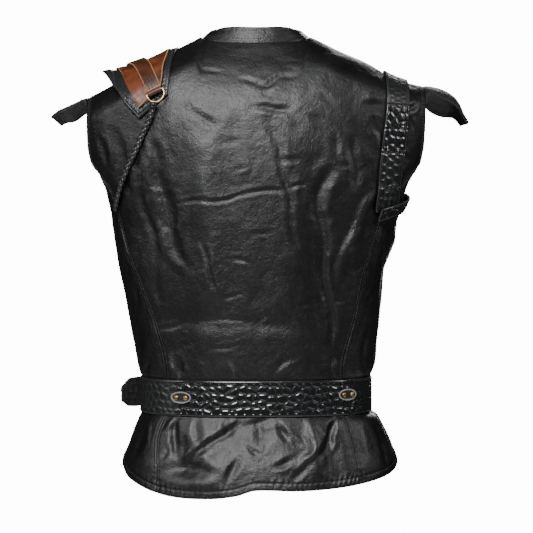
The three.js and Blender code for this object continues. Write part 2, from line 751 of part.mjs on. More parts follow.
const FLAP_INNER = 113;
const FLAP_SPAN = 101;
const FLAP_RISE = 24; // the flap stands this far off the shoulder at its outer end
const FLAP_BOW = 3; // power by which it rises towards that end
const FLAP_FALL = { share: 0.8, length: 75 }; // it comes back to the shoulder below the crest
const FLAP_SEAT = 1.1;
const FLAP_WALL = 2.5;
const OVERLAY_WALL = 2;
const STRAP_WALL = 2.5;
const LAYER_GAP = 1.4;
const STRAP_HALF = 10;

// How far the flap's underside stands off the surface.
function flapLift(x, climb) {
  const out = Math.max((x - FLAP_INNER) / FLAP_SPAN, 0) ** FLAP_BOW;
  const fall = FLAP_FALL.share * smoothstep(crestClimb(x) - climb, 0, FLAP_FALL.length);
  return FLAP_SEAT + FLAP_RISE * out * (1 - fall);
}

// Places are pairs of x and climb on one face here. Corners are joined by straight lines.
const corner = (x, z) => [x, climbOf(x, z)];
const crest = (x) => [x, crestClimb(x)];
function alongCorners(corners, counts) {
  const line = [corners[0]];
  counts.forEach((count, i) => {
    const [from, to] = [corners[i], corners[i + 1]];
    for (let k = 1; k <= count; k += 1) {
      line.push([lerp(from[0], to[0], k / count), lerp(from[1], to[1], k / count)]);
    }
  });
  return line;
}

// A layer that runs over the shoulder: a back part that ends in a pointed line and a straight front part.
function addShoulderLayer(name, shape, lift, thickness, material) {
  const columns = shape.counts.reduce((sum, count) => sum + count);
  const top = alongCorners([crest(shape.crest[0]), crest(shape.crest[1])], [columns]);
  const point = alongCorners(
    shape.back.map(([x, z]) => corner(x, z)),
    shape.counts,
  );
  const front = alongCorners(
    shape.front.map(([x, z]) => corner(x, z)),
    [columns],
  );
  const edge = (from, to, rows) => alongCorners([from, to], [rows]);
  const backPart = patch(
    point,
    top,
    edge(point[0], top[0], shape.rows),
    edge(point[columns], top[columns], shape.rows),
  );
  const frontPart = patch(
    front,
    top,
    edge(front[0], top[0], shape.rows - 2),
    edge(front[columns], top[columns], shape.rows - 2),
  );
  const faced = [
    ...backPart.map((row) => ({ row, face: BACK })),
    ...frontPart.reverse().slice(1).map((row) => ({ row, face: FRONT })),
  ];
  const grid = faced.map(({ row, face }) =>
    row.map(([x, climb]) => ({ ...surface(angleAt(x, climb, face), climb), x, climb })),
  );
  const liftAt = (i, j) => flapLift(grid[i][j].x, grid[i][j].climb) + lift;
  addWall(name, grid, liftAt, thickness, material);
}

const overlayLift = FLAP_WALL + LAYER_GAP;
const strapLift = overlayLift + OVERLAY_WALL + LAYER_GAP;

function addShoulderLayers() {
  const flap = {
    crest: [FLAP_INNER, FLAP_INNER + FLAP_SPAN],
    back: [
      [124, -95],
      [164.5, -128.5],
      [184, -107],
      [201, -82.5],
    ],
    counts: [4, 3, 3],
    front: [
      [121, -88],
      [198, -118],
    ],
    rows: 10,
  };
  const overlay = {
    crest: [123, 197],
    back: [
      [133, -83],
      [152.5, -103],
      [163, -113],
      [181, -83],
    ],
    counts: [3, 1, 3],
    front: [
      [130, -82],
      [188, -104],
    ],
    rows: 9,
  };
  const strap = {
    crest: [173 - STRAP_HALF, 173 + STRAP_HALF],
    back: [
      [132.8, -85.3],
      [150.8, -93.9],
    ],
    counts: [2],
    front: [
      [146, -80],
      [166, -88],
    ],
    rows: 9,
  };
  addShoulderLayer("shoulder_base_left", flap, 0, FLAP_WALL, leather);
  addShoulderLayer("shoulder_overlay_left", overlay, overlayLift, OVERLAY_WALL, brown);
  addShoulderLayer("shoulder_strap_left", strap, strapLift, STRAP_WALL, brown);
}

// The D-ring hangs in a rolled loop below the strap's end. The bar runs down to the wearer's left.
const RING_AT = { x: 139.8, z: -94.2, lift: 11.8 };
const RING_RADIUS = 13.7;
const RING_WIRE = 2.6;
const RING_DROP = 3; // from the bar to the middle of the ring's bow
const RING_TILT = degToRad(25.5);
const LOOP_RADIUS = 4;
const LOOP_BORE = 2.3;
const LOOP_LENGTH = 22;

// Puts a mesh at a place of the back with its Z along the surface's normal and its X level, then tilts it.
function placeOnBack(mesh, { x, z, lift }, tilt) {
  const { point, normal } = surfaceAt(x, z, BACK);
  const level = new THREE.Vector3().crossVectors(UP, normal).normalize();
  const rise = new THREE.Vector3().crossVectors(normal, level);
  mesh.position.copy(point).addScaledVector(normal, lift);
  mesh.quaternion.setFromRotationMatrix(new THREE.Matrix4().makeBasis(level, rise, normal));
  mesh.rotateZ(tilt);
}

function addRing() {
  const bow = (radius, flat) => {
    const start = Math.asin((RING_DROP + flat) / radius);
    return new THREE.Shape().absarc(0, -RING_DROP, radius, Math.PI - start, start, false);
  };
  const outline = bow(RING_RADIUS, RING_WIRE / 2);
  outline.holes.push(bow(RING_RADIUS - RING_WIRE, -RING_WIRE / 2));
  const geometry = new THREE.ExtrudeGeometry(outline, {
    depth: RING_WIRE,
    bevelEnabled: false,
    curveSegments: 20,
  });
  geometry.translate(0, 0, -RING_WIRE / 2);
  placeOnBack(add("d_ring_left", geometry, brass), RING_AT, RING_TILT);

  const roll = new THREE.Shape().absarc(0, 0, LOOP_RADIUS, 0, 2 * Math.PI, false);
  roll.holes.push(new THREE.Path().absarc(0, 0, LOOP_BORE, 0, 2 * Math.PI, true));
  const tube = new THREE.ExtrudeGeometry(roll, {
    depth: LOOP_LENGTH,
    bevelEnabled: false,
    curveSegments: 8,
  });
  tube.translate(0, 0, -LOOP_LENGTH / 2);
  tube.rotateY(Math.PI / 2);
  placeOnBack(add("ring_loop_left", tube, brown), RING_AT, RING_TILT);
}

// The braid runs from the ring to the armhole: places on the back with the lift of its middle.
const BRAID_RADIUS = 4;
const BRAID_ROUTE = [
  { x: 140.9, z: -109.3, lift: 11.3 },
  { x: 144.8, z: -121.6, lift: 7.6 },
  { x: 149.8, z: -133, lift: 5.2 },
  { x: 156, z: -145, lift: 4.7 },
  { x: 166, z: -168, lift: 4.7 },
  { x: 179, z: -195, lift: 4.7 },
  { x: 189, z: -218.5, lift: 4.7 },
  { x: 195.5, z: -239.5, lift: 4.7 },
  { x: 199, z: -254, lift: 4.6 },
];
const BRAID_STEPS = 22;

function addBraid() {
  const path = new THREE.CatmullRomCurve3(
    BRAID_ROUTE.map(({ x, z, lift }) => {
      const { point, normal } = surfaceAt(x, z, BACK);
      return point.addScaledVector(normal, lift);
    }),
  );
  const round = new THREE.Shape().absarc(0, 0, BRAID_RADIUS, 0, 2 * Math.PI, false);
  const geometry = new THREE.ExtrudeGeometry(round, {
    steps: BRAID_STEPS,
    extrudePath: path,
    curveSegments: 5,
  });
  add("braided_cord_left", geometry, leather);
}

// ---------------------------------------------------------------- right harness strap

const HARNESS_WALL = 3;
const HARNESS_LIFT = 1.2;
const HARNESS_MIDDLE = 200; // roughly where it crosses the shoulder, from the centre line
// The strap's edges by height, as distances from the centre line.
const HARNESS = {
  [BACK]: [
    { z: -250, inner: 168, outer: 203 },
    { z: -223, inner: 173, outer: 206 },
    { z: -192, inner: 176, outer: 209 },
    { z: -156, inner: 180, outer: 215 },
    { z: -127, inner: 184, outer: 217 },
    { z: -102, inner: 186, outer: 219 },
    { z: -56, inner: 187, outer: 220 },
  ],
  [FRONT]: [
    { z: -250, inner: 160, outer: 192 },
    { z: -192, inner: 160, outer: 193 },
    { z: -150, inner: 168, outer: 201 },
    { z: -110, inner: 181, outer: 214 },
    { z: -56, inner: 187, outer: 220 },
  ],
};
const HARNESS_END = { [BACK]: -259, [FRONT]: -258 };
const HARNESS_ROWS = 13;
const HARNESS_COLUMNS = 3;

function harnessRows(face) {
  const inner = curveThrough(HARNESS[face], "z", "inner");
  const outer = curveThrough(HARNESS[face], "z", "outer");
  return spread(0, 1, HARNESS_ROWS).map((share) =>
    spread(0, 1, HARNESS_COLUMNS).map((across) => {
      let x = -HARNESS_MIDDLE;
      let climb = 0;
      for (let i = 0; i < TURNS; i += 1) {
        climb = lerp(climbOf(x, HARNESS_END[face]), crestClimb(x), share);
        const { z } = rollAt(x, climb);
        x = -lerp(inner(z), outer(z), across);
      }
      return surface(angleAt(x, climb, face), climb);
    }),
  );
}

// The underarm strap crosses the armhole's foot from the back's strap end to the front's. Drawn
// taut there, it lies nearer to the wearer than the panels.
const UNDERARM_STRAP = [
  { angle: -64, z: -263, in: 0 },
  { angle: -75.5, z: -249.5, in: 0 },
  { angle: -78.5, z: -246, in: 3 },
  { angle: -82, z: -244, in: 8.7 },
  { angle: -90, z: -242, in: 16.7 },
  { angle: -98, z: -242.5, in: 11 },
  { angle: -103, z: -244.5, in: 5.7 },
  { angle: -107, z: -247, in: 2.3 },
  { angle: -111.5, z: -253.5, in: 0 },
  { angle: -119, z: -262, in: 0 },
];
const UNDERARM_HALF = 8.5;
const UNDERARM_COLUMNS = 20;
const UNDERARM_LIFT = HARNESS_LIFT + HARNESS_WALL + 0.5; // it lies on the harness strap

function addHarness() {
  const grid = [...harnessRows(BACK), ...harnessRows(FRONT).reverse().slice(1)];
  addWall("harness_strap_right", grid, HARNESS_LIFT, HARNESS_WALL, embossed);

  const rows = [...UNDERARM_STRAP].reverse();
  const middle = curveThrough(rows, "angle", "z");
  const nearer = curveThrough(rows, "angle", "in");
  const angles = spread(UNDERARM_STRAP[0].angle, UNDERARM_STRAP.at(-1).angle, UNDERARM_COLUMNS);
  const band = spread(-UNDERARM_HALF, UNDERARM_HALF, 2).map((off) =>
    angles.map((angle) => surface(degToRad(angle), middle(angle) + off)),
  );
  const lift = (i, j) => UNDERARM_LIFT - nearer(angles[j]);
  addWall("underarm_strap_right", band, lift, HARNESS_WALL, embossed);
}

// ---------------------------------------------------------------- belt

const BELT_MIDDLE = (BELT_TOP + BELT_BOTTOM) / 2;
const BILLET_HALF = 20;
const LEFT_JOINT = 104; // the belt's back length ends under the rivet patches
const RIGHT_JOINT = -131.7;
const BELT_COLUMNS = 14;
const BILLET_COLUMNS = 6;
const TAPER_X = -70; // the belt's right length starts to narrow here, on the front
const BELT_OUTER = BELT_LIFT + BELT_WALL;
const BILLET_LIFT = BELT_OUTER + 0.4; // where the billet lies on the belt

// A point on the belt's line round the body, with its level normal.
function beltCell(angle, z) {
  const radius = ringRadius(angle, BELT_TOP);
  const [x, y] = [radius * Math.sin(angle), radius * Math.cos(angle)];
  const half = halfWidth[sideOf(x)](BELT_TOP);
  const deep = depth[y >= 0 ? BACK : FRONT](BELT_TOP);
  const slope = (value, size) => (Math.sign(value) * (Math.abs(value) / size) ** (ROUNDNESS - 1)) / size;
  return {
    point: new THREE.Vector3(x, y, z),
    normal: new THREE.Vector3(slope(x, half), slope(y, deep), 0).normalize(),
  };
}

const beltAngle = (x, face) => angleAt(x, BELT_TOP, face);

// Stations run along a strap: each has an angle, a lift and a lower and upper height.
function addBeltLength(name, stations) {
  const grid = [0, 0.5, 1].map((up) =>
    stations.map(({ angle, low, high, lift, cell }) => {
      const z = lerp(low, high, up);
      const { point, normal } = cell ? { point: cell.point.clone(), normal: cell.normal } : beltCell(angle, z);
      point.z = z;
      return { point: point.addScaledVector(normal, lift), normal };
    }),
  );
  addWall(name, grid, 0, BELT_WALL, embossed);
}

const fullHeight = { low: BELT_BOTTOM, high: BELT_TOP };
const billetHeight = { low: BELT_MIDDLE - BILLET_HALF, high: BELT_MIDDLE + BILLET_HALF };

const BUCKLE = { x: 22, width: 44, height: 64, bar: 6, wall: 4, lift: BELT_OUTER + 0.3 };
const LEFT_END = 37; // the belt's left length ends under the buckle
// The billet climbs through the buckle over its bar and goes down to the belt's left length.
const BILLET_CLIMB = [
  { x: -34, lift: BELT_LIFT },
  { x: 7, lift: BELT_LIFT },
  { x: 15, lift: 2.8 },
  { x: 27, lift: 6.2 },
  { x: 36, lift: 9 },
  { x: 46, lift: 9.4 },
  { x: 58, lift: 6 },
  { x: 70, lift: BILLET_LIFT },
];
const BILLET_LEAVES = degToRad(119); // here the billet's end stands off the body, straight on
const TIP = [
  { run: 12, low: -545, high: -505 },
  { run: 34, low: -546, high: -504 },
  { run: 56, low: -548, high: -504 },
  { run: 70, low: -547, high: -507 },
  { run: 82, low: -539, high: -518 },
];

function addBelt() {
  const gap = SEAM_INSET / MEAN_RADIUS;
  const left = beltAngle(LEFT_JOINT, BACK);
  const right = beltAngle(RIGHT_JOINT, BACK);
  const full = (angle) => ({ angle, lift: BELT_LIFT, ...fullHeight });
  addBeltLength("belt_back", spread(right + gap, left - gap, BELT_COLUMNS).map(full));
  addBeltLength(
    "belt_left",
    spread(left + gap, beltAngle(LEFT_END, FRONT), BELT_COLUMNS + 2).map(full),
  );

  const frontAngle = (x) => {
    const angle = beltAngle(x, FRONT);
    return angle > 0 ? angle - 2 * Math.PI : angle;
  };
  const toTaper = spread(right - gap, frontAngle(TAPER_X), BELT_COLUMNS).map(full);
  const climb = BILLET_CLIMB.map(({ x, lift }) => ({ angle: frontAngle(x), lift, ...billetHeight }));
  const leaves = BILLET_LEAVES - 2 * Math.PI;
  const round = spread(frontAngle(BILLET_CLIMB.at(-1).x), leaves, BILLET_COLUMNS)
    .slice(1)
    .map((angle) => ({ angle, lift: BILLET_LIFT, ...billetHeight }));
  const { point, normal } = beltCell(BILLET_LEAVES, 0);
  const away = new THREE.Vector3().crossVectors(normal, UP).negate();
  const tip = TIP.map(({ run, low, high }) => ({
    cell: { point: point.clone().addScaledVector(away, run), normal },
    low,
    high,
    lift: BILLET_LIFT,
  }));
  addBeltLength("belt_right", [...toTaper, ...climb, ...round, ...tip]);
}

// Puts a mesh on the belt's line with its Z outwards and its Y up.
function placeOnBelt(mesh, angle, z, lift) {
  const { point, normal } = beltCell(angle, z);
  const across = new THREE.Vector3().crossVectors(UP, normal);
  mesh.position.copy(point).addScaledVector(normal, lift);
  mesh.quaternion.setFromRotationMatrix(new THREE.Matrix4().makeBasis(across, UP, normal));
}

const rectangle = (Kind, width, height) =>
  new Kind([
    new THREE.Vector2(-width / 2, -height / 2),
    new THREE.Vector2(width / 2, -height / 2),
    new THREE.Vector2(width / 2, height / 2),
    new THREE.Vector2(-width / 2, height / 2),
  ]);

const PRONG = { length: 26, width: 5, wall: 3, past: 3 };
const KEEPER = { x: 84, width: 12, wall: 1.6, gap: 0.5, foot: 2.8 };

function addBuckle() {
  const outline = rectangle(THREE.Shape, BUCKLE.width, BUCKLE.height);
  outline.holes.push(rectangle(THREE.Path, BUCKLE.width - 2 * BUCKLE.bar, BUCKLE.height - 2 * BUCKLE.bar));
  const frame = new THREE.ExtrudeGeometry(outline, { depth: BUCKLE.wall, bevelEnabled: false });
  const middle = beltAngle(BUCKLE.x, FRONT);
  placeOnBelt(add("belt_buckle_frame", frame, brass), middle, BELT_MIDDLE, BUCKLE.lift);
  const prong = new THREE.BoxGeometry(PRONG.length, PRONG.width, PRONG.wall);
  prong.translate(PRONG.length / 2 - BUCKLE.width / 2 - PRONG.past, 0, PRONG.wall / 2);
  const prongLift = BUCKLE.lift + BUCKLE.wall + SEAM_GAP;
  placeOnBelt(add("belt_buckle_prong", prong, brass), middle, BELT_MIDDLE, prongLift);

  const top = BILLET_LIFT + BELT_WALL + KEEPER.gap;
  const half = BELT_HEIGHT / 2 + KEEPER.gap;
  const staple = new THREE.Shape(
    [
      [KEEPER.foot, half],
      [KEEPER.foot, half + KEEPER.wall],
      [top + KEEPER.wall, half + KEEPER.wall],
      [top + KEEPER.wall, -half - KEEPER.wall],
      [KEEPER.foot, -half - KEEPER.wall],
      [KEEPER.foot, -half],
      [top, -half],
      [top, half],
    ].map((place) => new THREE.Vector2(...place)),
  );
  const keeper = new THREE.ExtrudeGeometry(staple, { depth: KEEPER.width, bevelEnabled: false });
  keeper.translate(0, 0, -KEEPER.width / 2);
  keeper.rotateY(-Math.PI / 2);
  placeOnBelt(add("belt_keeper", keeper, embossed), beltAngle(KEEPER.x, FRONT), BELT_MIDDLE, 0);
}

// ---------------------------------------------------------------- rivet patches

const PATCH = { halfLength: 14, halfHeight: 8.5, wall: 1.4 };
const PATCHES = { left: { x: LEFT_JOINT, z: -523 }, right: { x: -129, z: -520 } };
const RIVET = { radius: 3.8, height: 2, off: 7.3 };
// A rivet's domed head, as shares of its radius and height.
const RIVET_DOME = [
  { out: 0, up: 0 },
  { out: 1, up: 0 },
  { out: 0.93, up: 0.5 },
  { out: 0.6, up: 0.88 },
  { out: 0, up: 1 },
];

function addPatches() {
  for (const [side, { x, z }] of Object.entries(PATCHES)) {
    const oval = new THREE.Shape().absellipse(0, 0, PATCH.halfLength, PATCH.halfHeight, 0, 2 * Math.PI);
    const plate = new THREE.ExtrudeGeometry(oval, {
      depth: PATCH.wall,
      bevelEnabled: false,
      curveSegments: 12,
    });
    const angle = beltAngle(x, BACK);
    const lift = BELT_OUTER + SEAM_GAP;
    const patchMesh = add(`rivet_patch_${side}`, plate, leather);
    placeOnBelt(patchMesh, angle, z, lift);
    [-1, 1].forEach((way) => {
      const dome = RIVET_DOME.map(
        ({ out, up }) => new THREE.Vector2(RIVET.radius * out, RIVET.height * up),
      );
      const geometry = new THREE.LatheGeometry(dome, 16).rotateX(Math.PI / 2);
      geometry.translate(way * RIVET.off, 0, PATCH.wall + SEAM_GAP);
      const rivet = add(`rivet_${side}_${way < 0 ? "inner" : "outer"}`, geometry, brass);
      rivet.position.copy(patchMesh.position);
      rivet.quaternion.copy(patchMesh.quaternion);
    });
  }
}

addCollar();
addWing("left", 1);
addWing("right", -1);
addShoulderLayers();
addRing();
addBraid();
addHarness();
addBelt();
addBuckle();
addPatches();

export default vest;
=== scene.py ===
"""A leather vest with a stand collar, shoulder wings, straps and a belt, seen from behind."""
import math

import bpy
import numpy as np
from mathutils import Matrix, Vector


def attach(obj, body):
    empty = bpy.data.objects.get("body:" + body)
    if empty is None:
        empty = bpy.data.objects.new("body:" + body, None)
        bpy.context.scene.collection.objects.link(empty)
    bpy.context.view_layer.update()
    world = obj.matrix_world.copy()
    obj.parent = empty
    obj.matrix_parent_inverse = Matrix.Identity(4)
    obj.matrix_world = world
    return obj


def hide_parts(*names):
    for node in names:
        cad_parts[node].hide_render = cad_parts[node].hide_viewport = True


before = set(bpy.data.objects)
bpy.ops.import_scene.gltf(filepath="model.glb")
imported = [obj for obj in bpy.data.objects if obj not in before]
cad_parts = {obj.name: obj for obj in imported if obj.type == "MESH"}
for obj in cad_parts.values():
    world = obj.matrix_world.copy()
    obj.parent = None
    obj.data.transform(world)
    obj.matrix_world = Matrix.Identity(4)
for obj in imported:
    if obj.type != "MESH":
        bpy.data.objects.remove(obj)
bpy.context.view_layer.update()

# ---- Camera
# It stands behind the vest, a little below the shoulders, and looks level.
CAMERA_AT = (-0.0155, 2.225, -0.337)
CAMERA_LENS = 101.3

camera = bpy.data.objects.new("camera", bpy.data.cameras.new("camera"))
bpy.context.scene.collection.objects.link(camera)
camera.location = CAMERA_AT
camera.rotation_euler = (math.radians(90), 0, math.radians(180))
camera.data.lens = CAMERA_LENS
bpy.context.scene.camera = camera

# ---- The form of the vest
# Every panel is cut over one form: rings round the hips, waist and chest, and a roll over
# the shoulders. Sizes are millimetres here, and a mesh gets them in metres.
BACK, FRONT = 1, -1
WALL = 2.0
SEAM_GAP = 0.3
NECK_HALF = 80
NECK_TOP = 0.5
NECKLINE = {BACK: (17.5, 0.5), FRONT: (76.5, 0.85)}  # its drop, and the power of its curve
ARMHOLE_HALF = 246
RIDGE_Y = 10
ROLL_RADIUS = 50
SIDE_SEAM = math.radians(83)
BELT_TOP, BELT_BOTTOM = -499, -549
ROUNDNESS = 2.4

RINGS = [  # height, half width left and right, depth behind and before the middle
    (-665, 200, 210, 143, 136), (-622, 197, 209, 134, 130), (-595, 187, 199, 126, 124),
    (-577, 181, 191, 121, 119), (-560, 174, 183, 115, 115), (-553, 170.5, 177, 112, 112),
    (BELT_BOTTOM, 167.5, 167.5, 110, 110), (BELT_TOP, 167.5, 167.5, 110, 110),
    (-494, 170, 171, 111, 112), (-480, 174, 176, 112, 114), (-444, 181, 179, 113.5, 116),
    (-399, 190, 184, 115.5, 119), (-364, 197, 187, 117.5, 121.5), (-338, 203, 190, 119, 123),
    (-318, 206, 198, 120, 124.5), (-300, 209, 205, 121, 125.5), (-275, 213, 209, 122.5, 127),
    (-240, 228, 228, 124, 128), (-200, 246, 246, 124.5, 127), (-150, 262, 262, 122, 120),
    (-100, 275, 275, 116, 104), (-60, 281, 281, 100, 90), (-17, 285, 285, 72, 76),
    (40, 287, 287, 66, 70),
]
RIDGE = [  # distance from the centre line, height of the shoulder seam left and right
    (0, 23, 23), (20, 19.5, 19.5), (40, 13.5, 13.5), (60, 7.5, 7.5),
    (NECK_HALF, NECK_TOP, NECK_TOP), (100, -9, -8), (121, -20, -19), (165, -44, -39),
    (204, -66, -60), (ARMHOLE_HALF, -88, -71.5),
]
FOLDS = [  # face, from x and z, to x and z, width, depth (a trough is below 0)
    (BACK, 132, -165, 111, -480, 24, -4.5), (BACK, 74, -150, 65, -390, 24, 3),
    (BACK, -91, -180, -84, -290, 17, -4), (BACK, -84, -290, -112, -480, 17, -5),
    (BACK, -165, -235, -126, -335, 14, 4), (BACK, 140, -413, -60, -418, 12, -2),
    (BACK, 111, -566, 108, -620, 14, -6), (BACK, 68, -580, 64, -650, 26, 5),
    (BACK, 26, -566, 92, -616, 13, -5), (BACK, 12, -570, -30, -572, 14, -4),
    (BACK, -80, -570, -84, -625, 15, 6), (BACK, -110, -566, -112, -640, 13, -6),
    (FRONT, 110, -250, 92, -480, 24, -4.5), (FRONT, -118, -230, -88, -470, 22, -4),
    (FRONT, 64, -572, 70, -640, 18, 5), (FRONT, 104, -566, 118, -635, 15, -6),
    (FRONT, -58, -570, -66, -640, 17, -5), (FRONT, -100, -572, -112, -640, 18, 5),
]
FOLD_END, BELT_CALM = 30, 14
TURNS = 6  # rounds of closing in on a place that is given by its own result


def curve(rows, key, column):
    """A smooth curve through one column of a table, by another column that rises."""
    at = np.array([row[key] for row in rows], float)
    to = np.array([row[column] for row in rows], float)
    last = len(at) - 1
    low, high = np.maximum(np.arange(last + 1) - 1, 0), np.minimum(np.arange(last + 1) + 1, last)
    slope = (to[high] - to[low]) / (at[high] - at[low])

    def value(t):
        i = np.clip(np.searchsorted(at, t) - 1, 0, last - 1)
        span = at[i + 1] - at[i]
        s = np.clip((t - at[i]) / span, 0, 1)
        lead = s * (1 - s) ** 2 * slope[i] - s * s * (1 - s) * slope[i + 1]
        return to[i] + (to[i + 1] - to[i]) * s * s * (3 - 2 * s) + lead * span

    return value


def by_side(left, right):
    """One curve for x above 0 and another below."""
    return lambda x, t: np.where(x >= 0, left(t), right(t))


def smoothstep(t, low, high):
    s = np.clip((t - low) / (high - low), 0, 1)
    return s * s * (3 - 2 * s)


half_width = by_side(curve(RINGS, 0, 1), curve(RINGS, 0, 2))
depth_of = by_side(curve(RINGS, 0, 3), curve(RINGS, 0, 4))
ridge_of = by_side(curve(RIDGE, 0, 1), curve(RIDGE, 0, 2))


def knee(x):
    return ridge_of(x, np.abs(x)) - ROLL_RADIUS


def crest(x):
    return knee(x) + ROLL_RADIUS * math.pi / 2


def climb_of(x, z):
    """A climb is a height that goes on over the shoulder's roll."""
    over = (z - knee(x)) / ROLL_RADIUS
    return np.where(over <= 0, z, knee(x) + ROLL_RADIUS * np.arcsin(np.clip(over, 0, 1)))


def roll(x, climb):
    over = np.maximum(climb - knee(x), 0) / ROLL_RADIUS
    return np.where(over > 0, knee(x) + ROLL_RADIUS * np.sin(over), climb), np.cos(over)


def face_depth(x, z, face):
    share = np.minimum(np.abs(x) / half_width(x, z), 1)
    return depth_of(face, z) * (1 - share ** ROUNDNESS) ** (1 / ROUNDNESS)


def angle_at(x, climb, face):
    return np.arctan2(x, face * face_depth(x, roll(x, climb)[0], face))


def turn_at(x, climb, face):
    """A turn goes round a ring as the angle does, but keeps its x from ring to ring."""
    share = np.minimum(np.abs(x) / half_width(x, roll(x, climb)[0]), 1)
    turn = np.arcsin(share ** (ROUNDNESS / 2))
    return np.where(x >= 0, 1, -1) * (turn if face == BACK else math.pi - turn)


def angle_of_turn(turn, climb):
    x, y = (np.sign(f(turn)) * np.abs(f(turn)) ** (2 / ROUNDNESS) for f in (np.sin, np.cos))
    z = climb
    for _ in range(TURNS):
        z = roll(x * half_width(x, z), climb)[0]
    return np.arctan2(x * half_width(x, z), y * depth_of(y, z))


def ring_radius(angle, z):
    across = np.abs(np.sin(angle)) / half_width(np.sin(angle), z)
    deep = np.abs(np.cos(angle)) / depth_of(np.cos(angle), z)
    return (across ** ROUNDNESS + deep ** ROUNDNESS) ** (-1 / ROUNDNESS)


def strokes(rows, x, z, facing, end):
    """The sum of straight troughs and ridges, each fading out at its ends and off its face."""
    total = 0
    for face, x0, z0, x1, z1, width, depth in rows:
        length = math.hypot(x1 - x0, z1 - z0)
        ux, uz = (x1 - x0) / length, (z1 - z0) / length
        run = (x - x0) * ux + (z - z0) * uz
        off = (x - x0) * uz - (z - z0) * ux
        fade = smoothstep(run, -end, end) * smoothstep(length - run, -end, end)
        total = total + depth * bell(off, width) * fade * smoothstep(
            facing * face, 0.1, 0.5
        )
    return total


def form_point(angle, climb):
    z = climb
    for _ in range(TURNS):
        x = ring_radius(angle, z) * np.sin(angle)
        z, share = roll(x, climb)
    flat = ring_radius(angle, z) * np.cos(angle)
    off_belt = np.maximum(np.maximum(z - BELT_TOP, BELT_BOTTOM - z), 0)
    fold = strokes(FOLDS, x, z, np.cos(angle), FOLD_END) * smoothstep(off_belt, 0, BELT_CALM) * share
    y = RIDGE_Y + (flat - RIDGE_Y) * share
    return np.stack([x + fold * np.sin(angle), y + fold * np.cos(angle), z], -1)


def unit(vectors):
    return vectors / np.maximum(np.linalg.norm(vectors, axis=-1, keepdims=True), 1e-9)


def bell(off, width):
    return np.exp(-((off / width) ** 2))


def run_of(line):
    """The length of a line up to each of its points."""
    return np.concatenate([[0], np.cumsum(np.linalg.norm(np.diff(line, axis=0), axis=-1))])


def read_at(at, run, line):
    """The line's values at some lengths along it."""
    return np.stack([np.interp(at, run, line[:, k]) for k in range(line.shape[1])], -1)


def form(angle, climb):
    """Points of the form, and its outward normals there."""
    angle, climb = np.broadcast_arrays(np.asarray(angle, float), np.asarray(climb, float))
    across = form_point(angle + 0.002, climb) - form_point(angle - 0.002, climb)
    up = form_point(angle, climb + 0.4) - form_point(angle, climb - 0.4)
    return form_point(angle, climb), unit(np.cross(up, across))


def form_at(x, z, face):
    climb = climb_of(x, z)
    return form(angle_at(x, climb, face), climb)


# ---- Back panel
# One large piece of soft black cowhide with a plain lining. Its edges are turned at the
# princess seams, the armholes and the hem, and topstitched in black.
HEM = [  # degrees from the centre back, height
    (-180, -646), (-150, -644), (-118, -636), (-88, -625), (-66, -638), (-45, -647),
    (-24, -650), (0, -649), (12, -657), (28, -661), (48, -658), (68, -642), (86, -624),
    (118, -636), (150, -644), (180, -646),
]
PRINCESS = [  # height, distance of the seam from the centre line left and right
    (-670, 141, 150), (-622, 140, 145), (-583, 141, 138), (-560, 134, 131),
    (BELT_BOTTOM, 128, 127), (BELT_TOP, 128, 124), (-462, 134, 129), (-414, 148, 142),
    (-379, 160, 149), (-348, 172, 156), (-311, 186, 168), (-275, 196, 180),
    (-248, 203, 192), (-225, 212, 207), (-205, 226, 224), (-190, 238, 238),
]
PRINCESS_TOP = {1: -205, -1: -190}
BACK_ARMHOLE = [(-205, 226), (-190, 238), (-172, 243), (-155, 245), (-120, 246), (-60, 246)]
HEM_MEAN = -648
NECK_COLUMNS, SHOULDER_COLUMNS = 5, 6


def on_face(face, rows):
    return [(face, *row) for row in rows]


